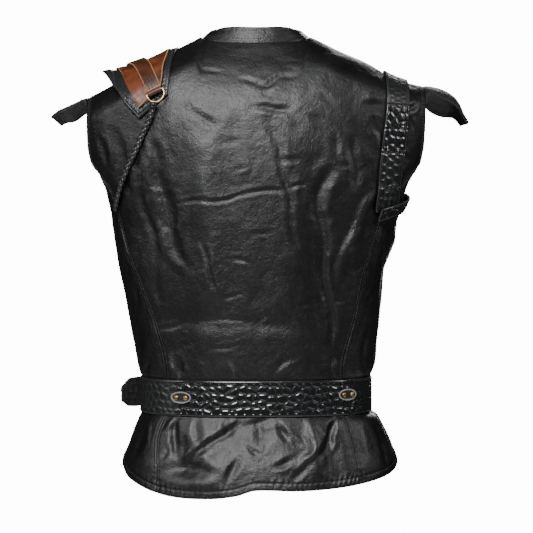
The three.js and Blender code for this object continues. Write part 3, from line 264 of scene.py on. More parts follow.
BACK_CREASES = on_face(BACK, [  # as FOLDS, for what is too fine for the solid
    (149, -157, 139, -184, 6, -2.6), (139, -184, 131, -230, 9, -3), (131, -230, 120, -285, 9, -3),
    (120, -285, 96, -340, 7, -2.4), (172, -176, 166, -224, 6, -1.8),
    (166, -224, 152, -270, 5, -1.6), (152, -270, 141, -332, 5, -1.6),
    (141, -332, 133, -400, 5, -1.4), (79, -299, 66, -337, 3, -1.4), (66, -337, 52, -377, 3, -1.4),
    (112, -249, 62, -246, 2.6, -1.3), (62, -246, 25, -238, 2.6, -1.3),
    (25, -238, -48, -232, 2.8, -1.2), (147, -427, 99, -416, 2.8, -1.3),
    (82, -416, 1, -416, 2.8, -1.3), (55, -382, 14, -372, 2.4, -0.9), (104, -116, 76, -126, 4, -1.5),
    (76, -126, 52, -139, 5, -1.7), (24, -71, -12, -84, 3.4, -1.5), (-12, -84, -34, -67, 4, -1.9),
    (-41, -49, -69, -56, 3, 1.2), (-34, -67, -64, -66, 4, -1), (-13, -84, -14, -98, 3, -1.3),
    (40, -64, 92, -60, 3.6, -0.9), (1, -112, -24, -116, 4.6, -3), (-24, -116, -52, -114, 4.6, -2),
    (-40, -116, -60, -131, 4.4, -2), (-17, -131, -28, -155, 4.2, -2.6),
    (-28, -155, -35, -188, 4, -2.2), (-35, -188, -45, -226, 3.8, -2.2),
    (-45, -226, -49, -262, 3.8, -2), (-49, -262, -59, -312, 3.4, -1.4),
    (-59, -312, -72, -355, 3, -1.2), (0, -165, 2, -188, 3.2, -1.3), (2, -188, 9, -210, 3.2, -1.2),
    (48, -162, 20, -158, 5, -1), (36, -206, 2, -196, 3, -0.8), (-35, -188, -66, -184, 3.4, -1.5),
    (-46, -228, -66, -222, 3, -1.3), (-66, -222, -74, -262, 3, -1), (-84, -92, -112, -108, 5, -1.3),
    (-76, -124, -98, -132, 5, -1.4), (-110, -150, -113, -183, 4.4, -2.4),
    (-113, -192, -137, -194, 3, -1.4), (-107, -192, -93, -224, 8, -2.6),
    (-93, -224, -86, -258, 8, -2.6), (-86, -258, -96, -322, 7, -2.6),
    (-96, -322, -102, -385, 5, -2.8), (-102, -385, -107, -449, 5, -2.8),
    (-137, -159, -142, -195, 7, -2.6), (-142, -195, -137, -230, 7, -2.6),
    (-171, -230, -147, -272, 6, 2), (-147, -272, -126, -316, 6, 2),
    (-126, -316, -118, -370, 6, 1.8), (-179, -107, -154, -107, 6, -3),
    (-179, -119, -155, -119, 3, -1.3), (-160, -140, -176, -172, 5, 1.6),
    (-214, -113, -233, -104, 4, -3), (-215, -121, -226, -140, 3.4, -1.8),
    (-207, -178, -221, -183, 4.4, -2.4), (-207, -202, -216, -195, 4.4, 2),
    (-101, -386, -137, -382, 2.6, -1.1), (-62, -392, -82, -392, 2.6, -1),
    (10, -290, -30, -286, 3, -0.9), (38, -326, 2, -334, 3, -1), (-1, -416, -23, -396, 3, -1.5),
    (-35, -396, -59, -419, 3, -1.2), (70, -452, 20, -446, 3, -1), (203, -140, 190, -196, 7, -2),
    (190, -196, 178, -236, 6, -1.8), (226, -150, 213, -196, 5, -1.6),
    (121, -463, 118, -495, 4.4, 2), (107, -470, 111, -498, 4.4, -2), (37, -472, 23, -499, 5, 1.8),
    (-27, -495, -62, -470, 4.4, 1.6), (-111, -470, -115, -495, 4, 1.8),
    (117, -553, 131, -572, 4, 2.4), (113, -553, 110, -608, 5, -3), (121, -589, 138, -616, 3, -1.5),
    (84, -552, 78, -590, 6, -2.4), (23, -556, 56, -580, 4.4, -2.8),
    (56, -580, 104, -625, 4.4, -2.8), (135, -625, 48, -628, 10, -4), (12, -589, -9, -602, 3.6, -2),
    (16, -563, -32, -553, 6, -2.4), (-31, -558, -49, -583, 5, -3), (-54, -570, -72, -585, 3, -1.6),
    (-48, -572, -66, -591, 3, -1.4), (-74, -552, -84, -606, 7, 2.6),
    (-115, -553, -105, -576, 4.6, -3.2), (-105, -576, -98, -599, 4.6, -3.2),
    (44, -552, 36, -572, 4.6, -2), (-93, -578, -78, -602, 5, 2.4), (-78, -602, -61, -615, 5, 2.4),
    (-2, -552, -6, -584, 5, -1.8), (-23, -618, -55, -604, 4.4, -2.2),
    (-52, -637, -72, -619, 4.4, -1.8), (20, -604, 40, -640, 5, -1.6),
])
CREASE_END, CREASE_TAPER, CREASE_BOW = 7, 0.35, 0.06

hem_of = curve(HEM, 0, 1)
princess = {1: curve(PRINCESS, 0, 1), -1: curve(PRINCESS, 0, 2)}
back_armhole = curve(BACK_ARMHOLE, 0, 1)


def crowded(count, low=True, high=True):
    """Shares from 0 to 1 that lie closer together at the ends named."""
    t = np.linspace(0, 1, count + 1)
    if low and high:
        return t - 0.7 * np.sin(2 * math.pi * t) / (2 * math.pi)
    if low:
        return t - 0.7 * np.sin(math.pi * t) / math.pi
    return 1 - crowded(count, True, False)[::-1] if high else t


def places(turn, climb):
    return np.stack(np.broadcast_arrays(np.asarray(turn, float), np.asarray(climb, float)), -1)


def place_at(x, z, face):
    climb = climb_of(x, z)
    return places(turn_at(x, climb, face), climb)


def patch(bottom, top, start, end, u, v, power=1):
    """Places between four edges that meet at the corners. A power above 1 keeps what the bow of
    the top edge does to the rows close to that edge."""
    u, v = u[None, :, None], v[:, None, None]
    low_bow = bottom - (bottom[0] * (1 - u) + bottom[-1] * u)
    top_bow = top - (top[0] * (1 - u) + top[-1] * u)
    return start[:, None] * (1 - u) + end[:, None] * u + low_bow * (1 - v) + top_bow * v ** power


def stack(patches):
    return np.concatenate([patches[0], *(rows[1:] for rows in patches[1:])])


def hem_at(turn):
    return hem_of(np.degrees(angle_of_turn(turn, np.full_like(turn, HEM_MEAN))))


def neck_xs(start, count):
    turns = np.linspace(math.asin(start / NECK_HALF), math.pi / 2, count + 1)
    return NECK_HALF * np.sin(turns)


def top_edge(x, face):
    """The neckline, and outside it the shoulder seam."""
    drop, power = NECKLINE[face]
    inside = 1 - np.minimum(np.abs(x) / NECK_HALF, 1) ** 2
    neck = place_at(x, NECK_TOP - drop * inside ** power, face)
    seam = places(turn_at(x, crest(x), face), crest(x))
    return np.where((np.abs(x) >= NECK_HALF)[:, None], seam, neck)


def princess_hem(side):
    z = np.array(float(HEM_MEAN))
    for _ in range(TURNS):
        z = hem_at(turn_at(side * princess[side](z), z, BACK))
    return float(z)


def princess_edge(side, low, high, v):
    z = low + (high - low) * v
    return place_at(side * princess[side](z), z, BACK)


def armhole_edge(side, v):
    low, high = PRINCESS_TOP[side], float(crest(side * ARMHOLE_HALF))
    climb = low + (high - low) * v
    x = side * back_armhole(roll(np.array(side * ARMHOLE_HALF), climb)[0])
    return places(turn_at(x, climb, BACK), climb)


def cover(placed, round_by=0, up_by=0):
    """Points and normals of the form at places, moved by lengths round it and up it."""
    turn, climb = placed[..., 0], placed[..., 1]
    angle = angle_of_turn(turn, climb)
    return form(angle + round_by / ring_radius(angle, climb), climb + up_by)


def distances(points):
    """How far each point of a grid lies from the grid's four edges, along its rows and columns."""
    across = np.linalg.norm(np.diff(points, axis=1), axis=-1)
    up = np.linalg.norm(np.diff(points, axis=0), axis=-1)
    start = np.concatenate([np.zeros((len(points), 1)), np.cumsum(across, 1)], 1)
    low = np.concatenate([np.zeros((1, points.shape[1])), np.cumsum(up, 0)], 0)
    return {"start": start, "end": start[:, -1:] - start, "low": low, "high": low[-1:] - low}


def grid_normals(points, outward):
    """The grid's own normals, on the side where outward points."""
    up, across = np.gradient(points, axis=0), np.gradient(points, axis=1)
    normals = unit(np.cross(up, across))
    return normals * np.where((normals * outward).sum(-1, keepdims=True) < 0, -1, 1)


def rumple(points, size, seed):
    """A smooth random field from -1 to 1, with lumps of about that size."""
    lattice = np.random.default_rng(seed).uniform(-1, 1, (32, 32, 32))
    at = points / size + 1000
    base = np.floor(at).astype(int)
    s = at - base
    s = s * s * (3 - 2 * s)
    total = 0
    for corner in np.ndindex(2, 2, 2):
        weight = np.prod(np.where(corner, s, 1 - s), -1)
        total = total + weight * lattice[tuple(np.moveaxis((base + corner) % 32, -1, 0))]
    return total


def seam_relief(away, along, seed):
    """A turned edge: it rolls down at the seam, dips at the stitches and puckers beside them."""
    pucker = np.sin(along / 1.5 + 2.5 * rumple(np.stack([along, away * 0, away * 0], -1), 19, seed))
    return (
        -0.8 * bell(away, 1.5)
        - 0.5 * bell(away - STITCH_IN, 1.1)
        + 0.22 * pucker * bell(away - STITCH_IN, 4.5)
    )


PANEL_SHELL = WALL - 0.3  # thickness of a panel's sheet, which leaves room for its relief
STITCH_IN = 4.0  # a topstitch runs this far inside a seam
SECOND_ROW = 3.5  # from it to a second one
HEM_IN = 10.0  # and this far above the hem


def creased(rows, x, z, facing):
    """Creases that bow a little and have a low ridge on each side. Their free ends thin out."""
    total = 0
    for i, (face, x0, z0, x1, z1, width, depth) in enumerate(rows):
        length = math.hypot(x1 - x0, z1 - z0)
        ux, uz = (x1 - x0) / length, (z1 - z0) / length
        run = (x - x0) * ux + (z - z0) * uz
        share = np.clip(run / length, 0, 1)
        bow = CREASE_BOW * length * (-1) ** i * 4 * share * (1 - share)
        out = CREASE_END + CREASE_TAPER * length
        fade = 1
        for place, at in (((x0, z0), run), ((x1, z1), length - run)):
            joins = any(place in ((row[1], row[2]), (row[3], row[4])) for row in rows if row is not rows[i])
            fade = fade * smoothstep(at, -CREASE_END, CREASE_END if joins else out)
        off = ((x - x0) * uz - (z - z0) * ux - bow) / (width * (0.6 + 0.4 * fade))
        profile = np.exp(-(off ** 2)) - 0.4 * bell(np.abs(off) - 1.9, 0.9)
        total = total + depth * profile * fade * smoothstep(facing * face, 0.1, 0.5)
    return total


def panel_relief(points, normals, edges, creases, seed):
    """What sewing and wear do to a panel: creases, seam edges, hem puckers and soft unevenness."""
    facing = normals[..., 1]
    x, z = points[..., 0], points[..., 2]
    calm = smoothstep(np.maximum(z - BELT_TOP, BELT_BOTTOM - z), 0, 6)
    relief = creased(creases, x, z, facing)
    stretched = points * np.array([1.0, 1.0, 0.55])
    relief = relief + 1.1 * rumple(stretched, 34, seed) + 0.6 * rumple(stretched, 15, seed + 1)
    relief = relief + 0.26 * rumple(points, 7, seed + 2)
    away = distances(points)
    for edge in edges:
        along = away["low"] if edge in ("start", "end") else away["start"]
        if edge == "low":
            lean = away["start"] + 0.35 * away["low"]
            wave = np.sin(lean / 1.28 + 3 * rumple(np.stack([lean, z * 0, z * 0], -1), 23, seed + 3))
            relief = relief + 0.75 * wave * bell(away["low"] - HEM_IN, 5.5)
            relief = relief - 0.6 * bell(away["low"] - HEM_IN, 1.3)
            relief = relief - 0.7 * bell(away["low"], 1.6)
        else:
            relief = relief + seam_relief(away[edge], along, seed + 5)
    return relief * calm


def painted_shade_relief(relief, points, normals):
    """How far a place stands out, with the large folds. The leather's colour uses it for painted shade,
    darker in the hollows and folds, and painted light, paler on the ridges.
    """
    folds = strokes(FOLDS, points[..., 0], points[..., 2], normals[..., 1], FOLD_END)
    return relief + 0.35 * folds


def leather_shell(name, points, normals, thickness, materials):
    """A closed sheet with rounded edges from its outer face. Its inner face has the second material."""
    rows, columns = points.shape[:2]
    index = np.arange(rows * columns).reshape(rows, columns)
    loop = np.concatenate([index[0, :-1], index[:-1, -1], index[-1, :0:-1], index[:0:-1, 0]])
    outer, facing = points.reshape(-1, 3), normals.reshape(-1, 3)
    inner = outer - facing * thickness
    along = outer[np.roll(loop, -1)] - outer[np.roll(loop, 1)]
    outwards = unit(np.cross(along, facing[loop]))
    if (outwards * (outer[loop] - outer.mean(0))).sum() < 0:
        outwards = -outwards
    middle = (outer[loop] + inner[loop]) / 2 + outwards * thickness * 0.32
    quad = np.stack([index[:-1, :-1], index[:-1, 1:], index[1:, 1:], index[1:, :-1]], -1).reshape(-1, 4)
    under, rim = len(outer), 2 * len(outer)
    after = np.roll(np.arange(len(loop)), -1)
    here, there = loop, loop[after]
    first = np.stack([here, rim + np.arange(len(loop)), rim + after, there], -1)
    second = np.stack([rim + np.arange(len(loop)), under + here, under + there, rim + after], -1)
    faces = np.concatenate([quad, quad[:, ::-1] + under, first, second])
    corner = outer[quad[:, 0]]
    if (np.cross(outer[quad[:, 1]] - corner, outer[quad[:, 3]] - corner) * facing[quad[:, 0]]).sum() < 0:
        faces = faces[:, ::-1]
    mesh = bpy.data.meshes.new(name)
    mesh.from_pydata((np.concatenate([outer, inner, middle]) / 1000).tolist(), [], faces.tolist())
    rim_kind = 2 if len(materials) > 2 else 0
    kinds = np.repeat([0, min(1, len(materials) - 1), rim_kind], [len(quad), len(quad), 2 * len(loop)])
    mesh.polygons.foreach_set("material_index", kinds.astype(np.int32))
    for material in materials:
        mesh.materials.append(material)
    mesh.shade_smooth()
    mesh.update()
    piece = bpy.data.objects.new(name, mesh)
    bpy.context.scene.collection.objects.link(piece)
    return piece


def note(piece, name, values, rim=None):
    """Writes a number for each point of the outer face, and the same on the inner one, on a mesh."""
    flat = np.asarray(values, float).ravel()
    count = len(piece.data.vertices) - 2 * len(flat)
    data = np.concatenate([flat, flat, np.full(count, flat[0] if rim is None else rim)])
    piece.data.attributes.new(name, "FLOAT", "POINT").data.foreach_set("value", data.astype(np.float32))


class Dye:
    """A socket of a finish's nodes. Sums and products of dyes add Math nodes."""

    def __init__(self, tree, socket=None):
        self.tree, self.socket = tree, socket

    def node(self, kind, settings, inputs, output=0):
        """Adds a node: its type, its settings, then the values or links of its sockets."""
        made = self.tree.nodes.new(kind)
        for key, value in settings.items():
            if key == "stops":
                ramp = made.color_ramp
                while len(ramp.elements) < len(value):
                    ramp.elements.new(1)
                for element, (position, shade) in zip(ramp.elements, value):
                    element.position, element.color = position, (*shade, 1)
            else:
                setattr(made, key, value)
        for key, value in inputs.items():
            if isinstance(value, Dye):
                self.tree.links.new(value.socket, made.inputs[key])
            else:
                made.inputs[key].default_value = value
        return Dye(self.tree, made.outputs[output])

    def maths(self, operation, first, second):
        return self.node("ShaderNodeMath", {"operation": operation}, {0: first, 1: second})

    def __add__(self, other):
        return self.maths("ADD", self, other)

    def __sub__(self, other):
        return self.maths("SUBTRACT", self, other)

    def __rsub__(self, other):
        return self.maths("SUBTRACT", other, self)

    def __mul__(self, other):
        return self.maths("MULTIPLY", self, other)

    def __pow__(self, other):
        return self.maths("POWER", self, other)

    __radd__, __rmul__ = __add__, __mul__

    def clamped(self):
        return self.node("ShaderNodeMath", {"operation": "ADD", "use_clamp": True}, {0: self, 1: 0.0})

    def between(self, low, high):
        """0 below low, 1 above high, and smooth in between."""
        settings = {"interpolation_type": "SMOOTHSTEP"}
        return self.node("ShaderNodeMapRange", settings, {0: self, 1: low, 2: high})

    def tint(self, first, second):
        """From the first colour at 0 to the second at 1."""
        pair = [c if isinstance(c, Dye) else (*c, 1) for c in (first, second)]
        settings = {"data_type": "RGBA"}
        return self.node("ShaderNodeMix", settings, {0: self, 6: pair[0], 7: pair[1]}, output=2)

    def noise(self, place, scale, detail=3.0, roughness=0.55):
        inputs = {"Vector": place, "Scale": scale, "Detail": detail, "Roughness": roughness}
        return self.node("ShaderNodeTexNoise", {}, inputs)

    def cells(self, place, scale, feature="F1"):
        inputs = {"Vector": place, "Scale": scale}
        return self.node("ShaderNodeTexVoronoi", {"feature": feature}, inputs)

    def bump(self, height, distance, strength=1.0, normal=None):
        inputs = {"Height": height, "Distance": distance, "Strength": strength}
        if normal is not None:
            inputs["Normal"] = normal
        return self.node("ShaderNodeBump", {}, inputs)

    def attribute(self, name):
        settings = {"attribute_name": name, "attribute_type": "GEOMETRY"}
        return self.node("ShaderNodeAttribute", settings, {}, output=2)


def finish(name):
    """A new material: its place on the object, and what to call with the shader's sockets."""
    material = bpy.data.materials.new(name)
    material.use_nodes = True
    tree = material.node_tree
    shader = tree.nodes["Principled BSDF"]
    blank = Dye(tree)
    place = blank.node("ShaderNodeTexCoord", {}, {}, output=3)

    def set_shader(**sockets):
        for key, value in sockets.items():
            socket = shader.inputs[key.replace("_", " ")]
            if isinstance(value, Dye):
                tree.links.new(value.socket, socket)
            else:
                socket.default_value = value
        return material

    return place, set_shader


def black_leather(name, dark=(0.0008, 0.0008, 0.0009), light=(0.0075, 0.0078, 0.0086), gloss=0.0):
    """Corrected cowhide: a fine pebble, soft wrinkles, random paler patches, and painted shade and light:
    darker in the hollows, paler on the ridges.
    """
    place, set_shader = finish(name)
    broad = place.noise(place, 14, 2)
    middle = place.noise(place, 62, 5, 0.62)
    wrinkles = place.noise(place, 190, 5, 0.7)
    pebble = place.cells(place, 560, "SMOOTH_F1")
    pores = place.noise(place, 1500, 2)
    # Painted shade and light: the relief attribute darkens the hollows and folds and lightens the ridges; the
    # noises add random tone.
    shade_and_tone = (place.attribute("relief") * 0.34 + 0.36 + (middle - 0.5) * 0.8 + (wrinkles - 0.5) * 0.5).clamped()
    grain = place.bump(pebble + pores * 0.35, 0.0003, 0.7)
    wrinkled = place.bump(wrinkles, 0.0009, 0.55, grain)
    crumple = place.bump(middle, 0.0022, 0.5, wrinkled)
    rough = 0.3 + broad * 0.08 + middle * 0.1 + pores * 0.06 - shade_and_tone * 0.05 - gloss
    return set_shader(
        Base_Color=shade_and_tone.tint(dark, light),
        Roughness=rough,
        Normal=crumple,
        Specular_IOR_Level=0.5,
    )


def lining_cloth(name):
    """Plain black lining with a fine twill."""
    place, set_shader = finish(name)
    inputs = {"Vector": place, "Scale": 900.0, "Distortion": 0.4}
    twill = place.node("ShaderNodeTexWave", {"bands_direction": "DIAGONAL"}, inputs)
    return set_shader(
        Base_Color=twill.tint((0.006, 0.006, 0.007), (0.013, 0.013, 0.015)),
        Roughness=0.75 - twill * 0.1,
        Normal=place.bump(twill, 0.0001, 0.5),
    )


def inside_line(points, normals, edge, inset, trim=(0, 0)):
    """A line on a grid at one distance from an edge, cut short at its ends."""
    if edge in ("low", "high"):
        points, normals = points.swapaxes(0, 1), normals.swapaxes(0, 1)
    if edge in ("end", "high"):
        points, normals = points[:, ::-1], normals[:, ::-1]
    line, upright = [], []
    for row, facing in zip(points, normals):
        run = run_of(row)
        line.append([np.interp(inset, run, row[:, k]) for k in range(3)])
        upright.append([np.interp(inset, run, facing[:, k]) for k in range(3)])
    line, upright = np.array(line), unit(np.array(upright))
    run = run_of(line)
    keep = (run >= trim[0]) & (run <= run[-1] - trim[1])
    return line[keep], upright[keep]


def stitching(name, lines, material, length=3.2, pitch=4.4, thread=0.42):
    """Rows of single stitches, each a short bowed thread that dips into the leather at its ends."""
    shares = np.array([-0.5, -0.28, 0.28, 0.5])
    around = np.arange(5) * 2 * math.pi / 5
    rings, lifts = np.array([0.35, 1, 1, 0.35]), np.array([-0.7, 0.45, 0.45, -0.7])
    corners, faces = [], []
    for line, upright in lines:
        run = run_of(line)
        for middle in np.arange(pitch, run[-1] - pitch / 2, pitch):
            at = middle + shares * length
            spine = read_at(at, run, line)
            facing = unit(read_at(at, run, upright))
            along = unit(spine[-1] - spine[0])
            side = unit(np.cross(facing, along))
            base = len(corners) * 20
            ring = (
                spine[:, None]
                + (lifts * thread)[:, None, None] * facing[:, None]
                + (rings * thread)[:, None, None]
                * (
                    np.cos(around)[None, :, None] * side[:, None]
                    + np.sin(around)[None, :, None] * facing[:, None]
                )
            )
            corners.append(ring.reshape(-1, 3))
            for i in range(3):
                for k in range(5):
                    a, b = base + 5 * i + k, base + 5 * i + (k + 1) % 5
                    faces.append((a, a + 5, b + 5, b))
            faces.append(tuple(base + k for k in range(5)))
            faces.append(tuple(base + 15 + k for k in reversed(range(5))))
    return closed_mesh(name, corners, faces, material)


def closed_mesh(name, corners, faces, material):
    """A smooth closed mesh from its corners in millimetres."""
    mesh = bpy.data.meshes.new(name)
    mesh.from_pydata((np.concatenate(corners) / 1000).tolist(), [], faces)
    mesh.materials.append(material)
    mesh.shade_smooth()
    piece = bpy.data.objects.new(name, mesh)
    bpy.context.scene.collection.objects.link(piece)
    right_side_out(piece)
    return piece


def right_side_out(piece):
    """Turns a closed piece's faces outwards."""
    bpy.ops.object.select_all(action="DESELECT")
    bpy.context.view_layer.objects.active = piece
    piece.select_set(True)
    bpy.ops.object.mode_set(mode="EDIT")
    bpy.ops.mesh.select_all(action="SELECT")
    bpy.ops.mesh.normals_make_consistent(inside=False)
    bpy.ops.object.mode_set(mode="OBJECT")
    piece.select_set(False)


def thread_finish(name, dark, light):
    """Bonded thread, with painted highlights from a fine noise in its colour, which also sets its roughness
    and bump.
    """
    place, set_shader = finish(name)
    twist_sheen = place.noise(place, 1800, 1)
    # The noise paints highlights into the thread's colour in fine flecks.
    return set_shader(
        Base_Color=twist_sheen.tint(dark, light),
        Roughness=0.42 + twist_sheen * 0.2,
        Normal=place.bump(twist_sheen, 0.0001, 0.4),
    )


panel_leather = black_leather("panel_leather")
lining = lining_cloth("lining")
black_thread = thread_finish("black_thread", (0.012, 0.012, 0.013), (0.05, 0.052, 0.056))

BACK_ROWS = {"skirt": 46, "belt": 10, "body": 100, "yoke": 76}
shoulder_xs = np.linspace(NECK_HALF, ARMHOLE_HALF, SHOULDER_COLUMNS + 1)
solid_xs = np.concatenate([neck_xs(0, NECK_COLUMNS), shoulder_xs[1:]])
solid_xs = np.concatenate([-solid_xs[:0:-1], solid_xs])
back_xs = ARMHOLE_HALF * (2 * crowded(156) - 1)
for corner_x in (-NECK_HALF, NECK_HALF):
    back_xs[np.argmin(np.abs(back_xs - corner_x))] = corner_x
back_u = np.interp(back_xs, solid_xs, np.linspace(0, 1, len(solid_xs)))


def back_level(height_of):
    share = back_xs / ARMHOLE_HALF
    z = height_of(share)
    width = np.where(back_xs >= 0, princess[1](z), princess[-1](z))
    return place_at(share * width, z, BACK)


def back_hem(share):
    width = np.where(back_xs >= 0, princess[1](HEM_MEAN), princess[-1](HEM_MEAN))
    return hem_at(turn_at(share * width, np.full_like(share, HEM_MEAN), BACK))


back_lines = [
    back_level(back_hem),
    back_level(lambda s: np.full_like(s, BELT_BOTTOM)),
    back_level(lambda s: np.full_like(s, BELT_TOP)),
    back_level(lambda s: PRINCESS_TOP[-1] + (PRINCESS_TOP[1] - PRINCESS_TOP[-1]) * (s + 1) / 2),
    top_edge(back_xs, BACK),
]
back_vs = [
    crowded(BACK_ROWS["skirt"], True, False),
    crowded(BACK_ROWS["belt"], False, False),
    crowded(BACK_ROWS["body"], False, False),
    crowded(BACK_ROWS["yoke"], False, True),
]


def back_edge(side, i, v):
    if i == 3:
        return armhole_edge(side, v)
    levels = [princess_hem(side), BELT_BOTTOM, BELT_TOP, PRINCESS_TOP[side]]
    return princess_edge(side, levels[i], levels[i + 1], v)


back_places = stack([
    patch(back_lines[i], back_lines[i + 1], back_edge(-1, i, v), back_edge(1, i, v), back_u, v)
    for i, v in enumerate(back_vs)
])
yoke_start = sum(BACK_ROWS[part] for part in ("skirt", "belt", "body"))
row_of, column_of = np.indices(back_places.shape[:2])
beside_seam = np.where(row_of > yoke_start, 0, SEAM_GAP / 2)
back_round = beside_seam * ((column_of == 0).astype(float) - (column_of == column_of.max()))
back_up = np.where(row_of == row_of.max(), -SEAM_GAP / 2, 0)
back_points, back_normals = cover(back_places, back_round, back_up)
back_relief = panel_relief(back_points, back_normals, ("start", "end", "low"), BACK_CREASES, 11)
near_top = distances(back_points)["high"]
back_relief = back_relief * smoothstep(near_top, 0, 12)
back_face = back_points + back_normals * back_relief[..., None]
back_facing = grid_normals(back_face, back_normals)
back = leather_shell("back_panel_leather", back_face, back_facing, PANEL_SHELL, [panel_leather, lining])
note(back, "relief", painted_shade_relief(back_relief, back_points, back_normals))
back_stitches = stitching(
    "back_panel_stitching",
    [
        inside_line(back_face, back_facing, "start", STITCH_IN, (12, 12)),
        inside_line(back_face, back_facing, "end", STITCH_IN, (12, 12)),
        inside_line(back_face, back_facing, "low", HEM_IN, (3, 3)),
        *(
            inside_line(
                back_face[yoke_start:], back_facing[yoke_start:], edge, STITCH_IN + SECOND_ROW, (8, 12)
            )
            for edge in ("start", "end")
        ),
    ],
    black_thread,
)
for piece in (back, back_stitches):
    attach(piece, "root")
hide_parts("back_panel")

# ---- Side panels
# The narrow panels under the arms, between the princess seams and the side seams, in the
# same leather. Their tops form the foot of the armholes.
LOWER_ARMHOLE = {  # from the princess seam down: distance from the centre line, height
    1: [(226, -205), (219, -222), (215, -241), (211, -262)],
    -1: [(238, -190), (226, -206), (218, -223), (214, -242), (208, -265)],
}
UNDERARM = -277
MEAN_RADIUS = 170
SIDE_ROWS = {"skirt": 46, "belt": 10, "body": 84}
SIDE_COLUMNS = 42
SIDE_CREASES = on_face(BACK, [
    (178, -300, 186, -345, 5, -1.2), (172, -420, 158, -470, 5, -1.4),
    (176, -360, 170, -405, 3, -0.8), (152, -470, 158, -496, 4, -1.2),
    (160, -560, 176, -610, 6, -1.6), (150, -556, 154, -590, 3, 1),
    (-186, -300, -176, -352, 5, -1.4), (-166, -420, -152, -478, 4, -1.3),
    (-160, -390, -176, -372, 3, -0.8), (-148, -470, -154, -497, 4, 1.3),
    (-168, -556, -186, -604, 5, -1.8), (-152, -558, -166, -612, 6, 1.6),
    (-178, -590, -190, -630, 4, -1.2),
])


def cubic(before, first, last, after, t):
    """A smooth curve from the first point to the last one, with a share of the way."""
    leave, reach = (last - before) / 2, (after - first) / 2
    bend = (2 * first - 2 * last + leave + reach) * t ** 3
    return bend + (3 * last - 3 * first - 2 * leave - reach) * t ** 2 + leave * t + first


def smooth_places(points, shares):
    """Evenly spaced places on a smooth line through the given ones."""
    points = np.array(points) * [MEAN_RADIUS, 1]
    dense = []
    for i in range(len(points) - 1):
        before, after = points[max(i - 1, 0)], points[min(i + 2, len(points) - 1)]
        dense.append(cubic(before, points[i], points[i + 1], after, np.linspace(0, 1, 41)[:, None]))
    dense = np.concatenate(dense)
    run = run_of(dense)
    at = shares * run[-1]
    return np.stack([np.interp(at, run, dense[:, 0]) / MEAN_RADIUS, np.interp(at, run, dense[:, 1])], -1)


ARMHOLE_POWER = 6
for side, side_name in ((1, "left"), (-1, "right")):
    seam_turn = side * SIDE_SEAM
    u = crowded(SIDE_COLUMNS)

    def side_level(z):
        start = turn_at(side * princess[side](z), np.array(float(z)), BACK)
        return places(start + (seam_turn - start) * u, z)

    hem_start = princess_edge(side, princess_hem(side), BELT_BOTTOM, np.array([0.0]))[0, 0]
    hem_turns = hem_start + (seam_turn - hem_start) * u
    armhole = smooth_places(
        [place_at(np.array(side * x), np.array(z), BACK) for x, z in LOWER_ARMHOLE[side]]
        + [np.array([seam_turn, UNDERARM])],
        u,
    )
    levels = [princess_hem(side), BELT_BOTTOM, BELT_TOP, PRINCESS_TOP[side]]
    side_levels = [float(hem_at(np.array(seam_turn))), BELT_BOTTOM, BELT_TOP, UNDERARM]
    lines = [places(hem_turns, hem_at(hem_turns)), side_level(BELT_BOTTOM), side_level(BELT_TOP), armhole]
    vs = [
        crowded(SIDE_ROWS["skirt"], True, False),
        crowded(SIDE_ROWS["belt"], False, False),
        crowded(SIDE_ROWS["body"], False, True),
    ]
    placed = stack([
        patch(
            lines[i], lines[i + 1], princess_edge(side, levels[i], levels[i + 1], v),
            places(seam_turn, side_levels[i] + (side_levels[i + 1] - side_levels[i]) * v), u, v, power,
        )
        for i, (v, power) in enumerate(zip(vs, (1, 1, ARMHOLE_POWER)))
    ])
    column_of = np.indices(placed.shape[:2])[1]
    shift = side * SEAM_GAP / 2 * ((column_of == 0).astype(float) - (column_of == SIDE_COLUMNS))
    points, normals = cover(placed, shift)
    relief = panel_relief(points, normals, ("start", "end", "low", "high"), SIDE_CREASES, 31 + side)
    face = points + normals * relief[..., None]
    facing = grid_normals(face, normals)
    panel_name = f"side_panel_{side_name}_leather"
    panel = leather_shell(panel_name, face, facing, PANEL_SHELL, [panel_leather, lining])
    note(panel, "relief", painted_shade_relief(relief, points, normals))
    rows = [
        inside_line(face, facing, "end", STITCH_IN, (12, 6)),
        inside_line(face, facing, "end", STITCH_IN + SECOND_ROW, (12, 8)),
        inside_line(face, facing, "low", HEM_IN, (3, 3)),
        inside_line(face, facing, "high", STITCH_IN, (3, 3)),
    ]
    stitches = stitching(f"side_panel_{side_name}_stitching", rows, black_thread)
    for piece in (panel, stitches):
        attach(piece, "root")
    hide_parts(f"side_panel_{side_name}")

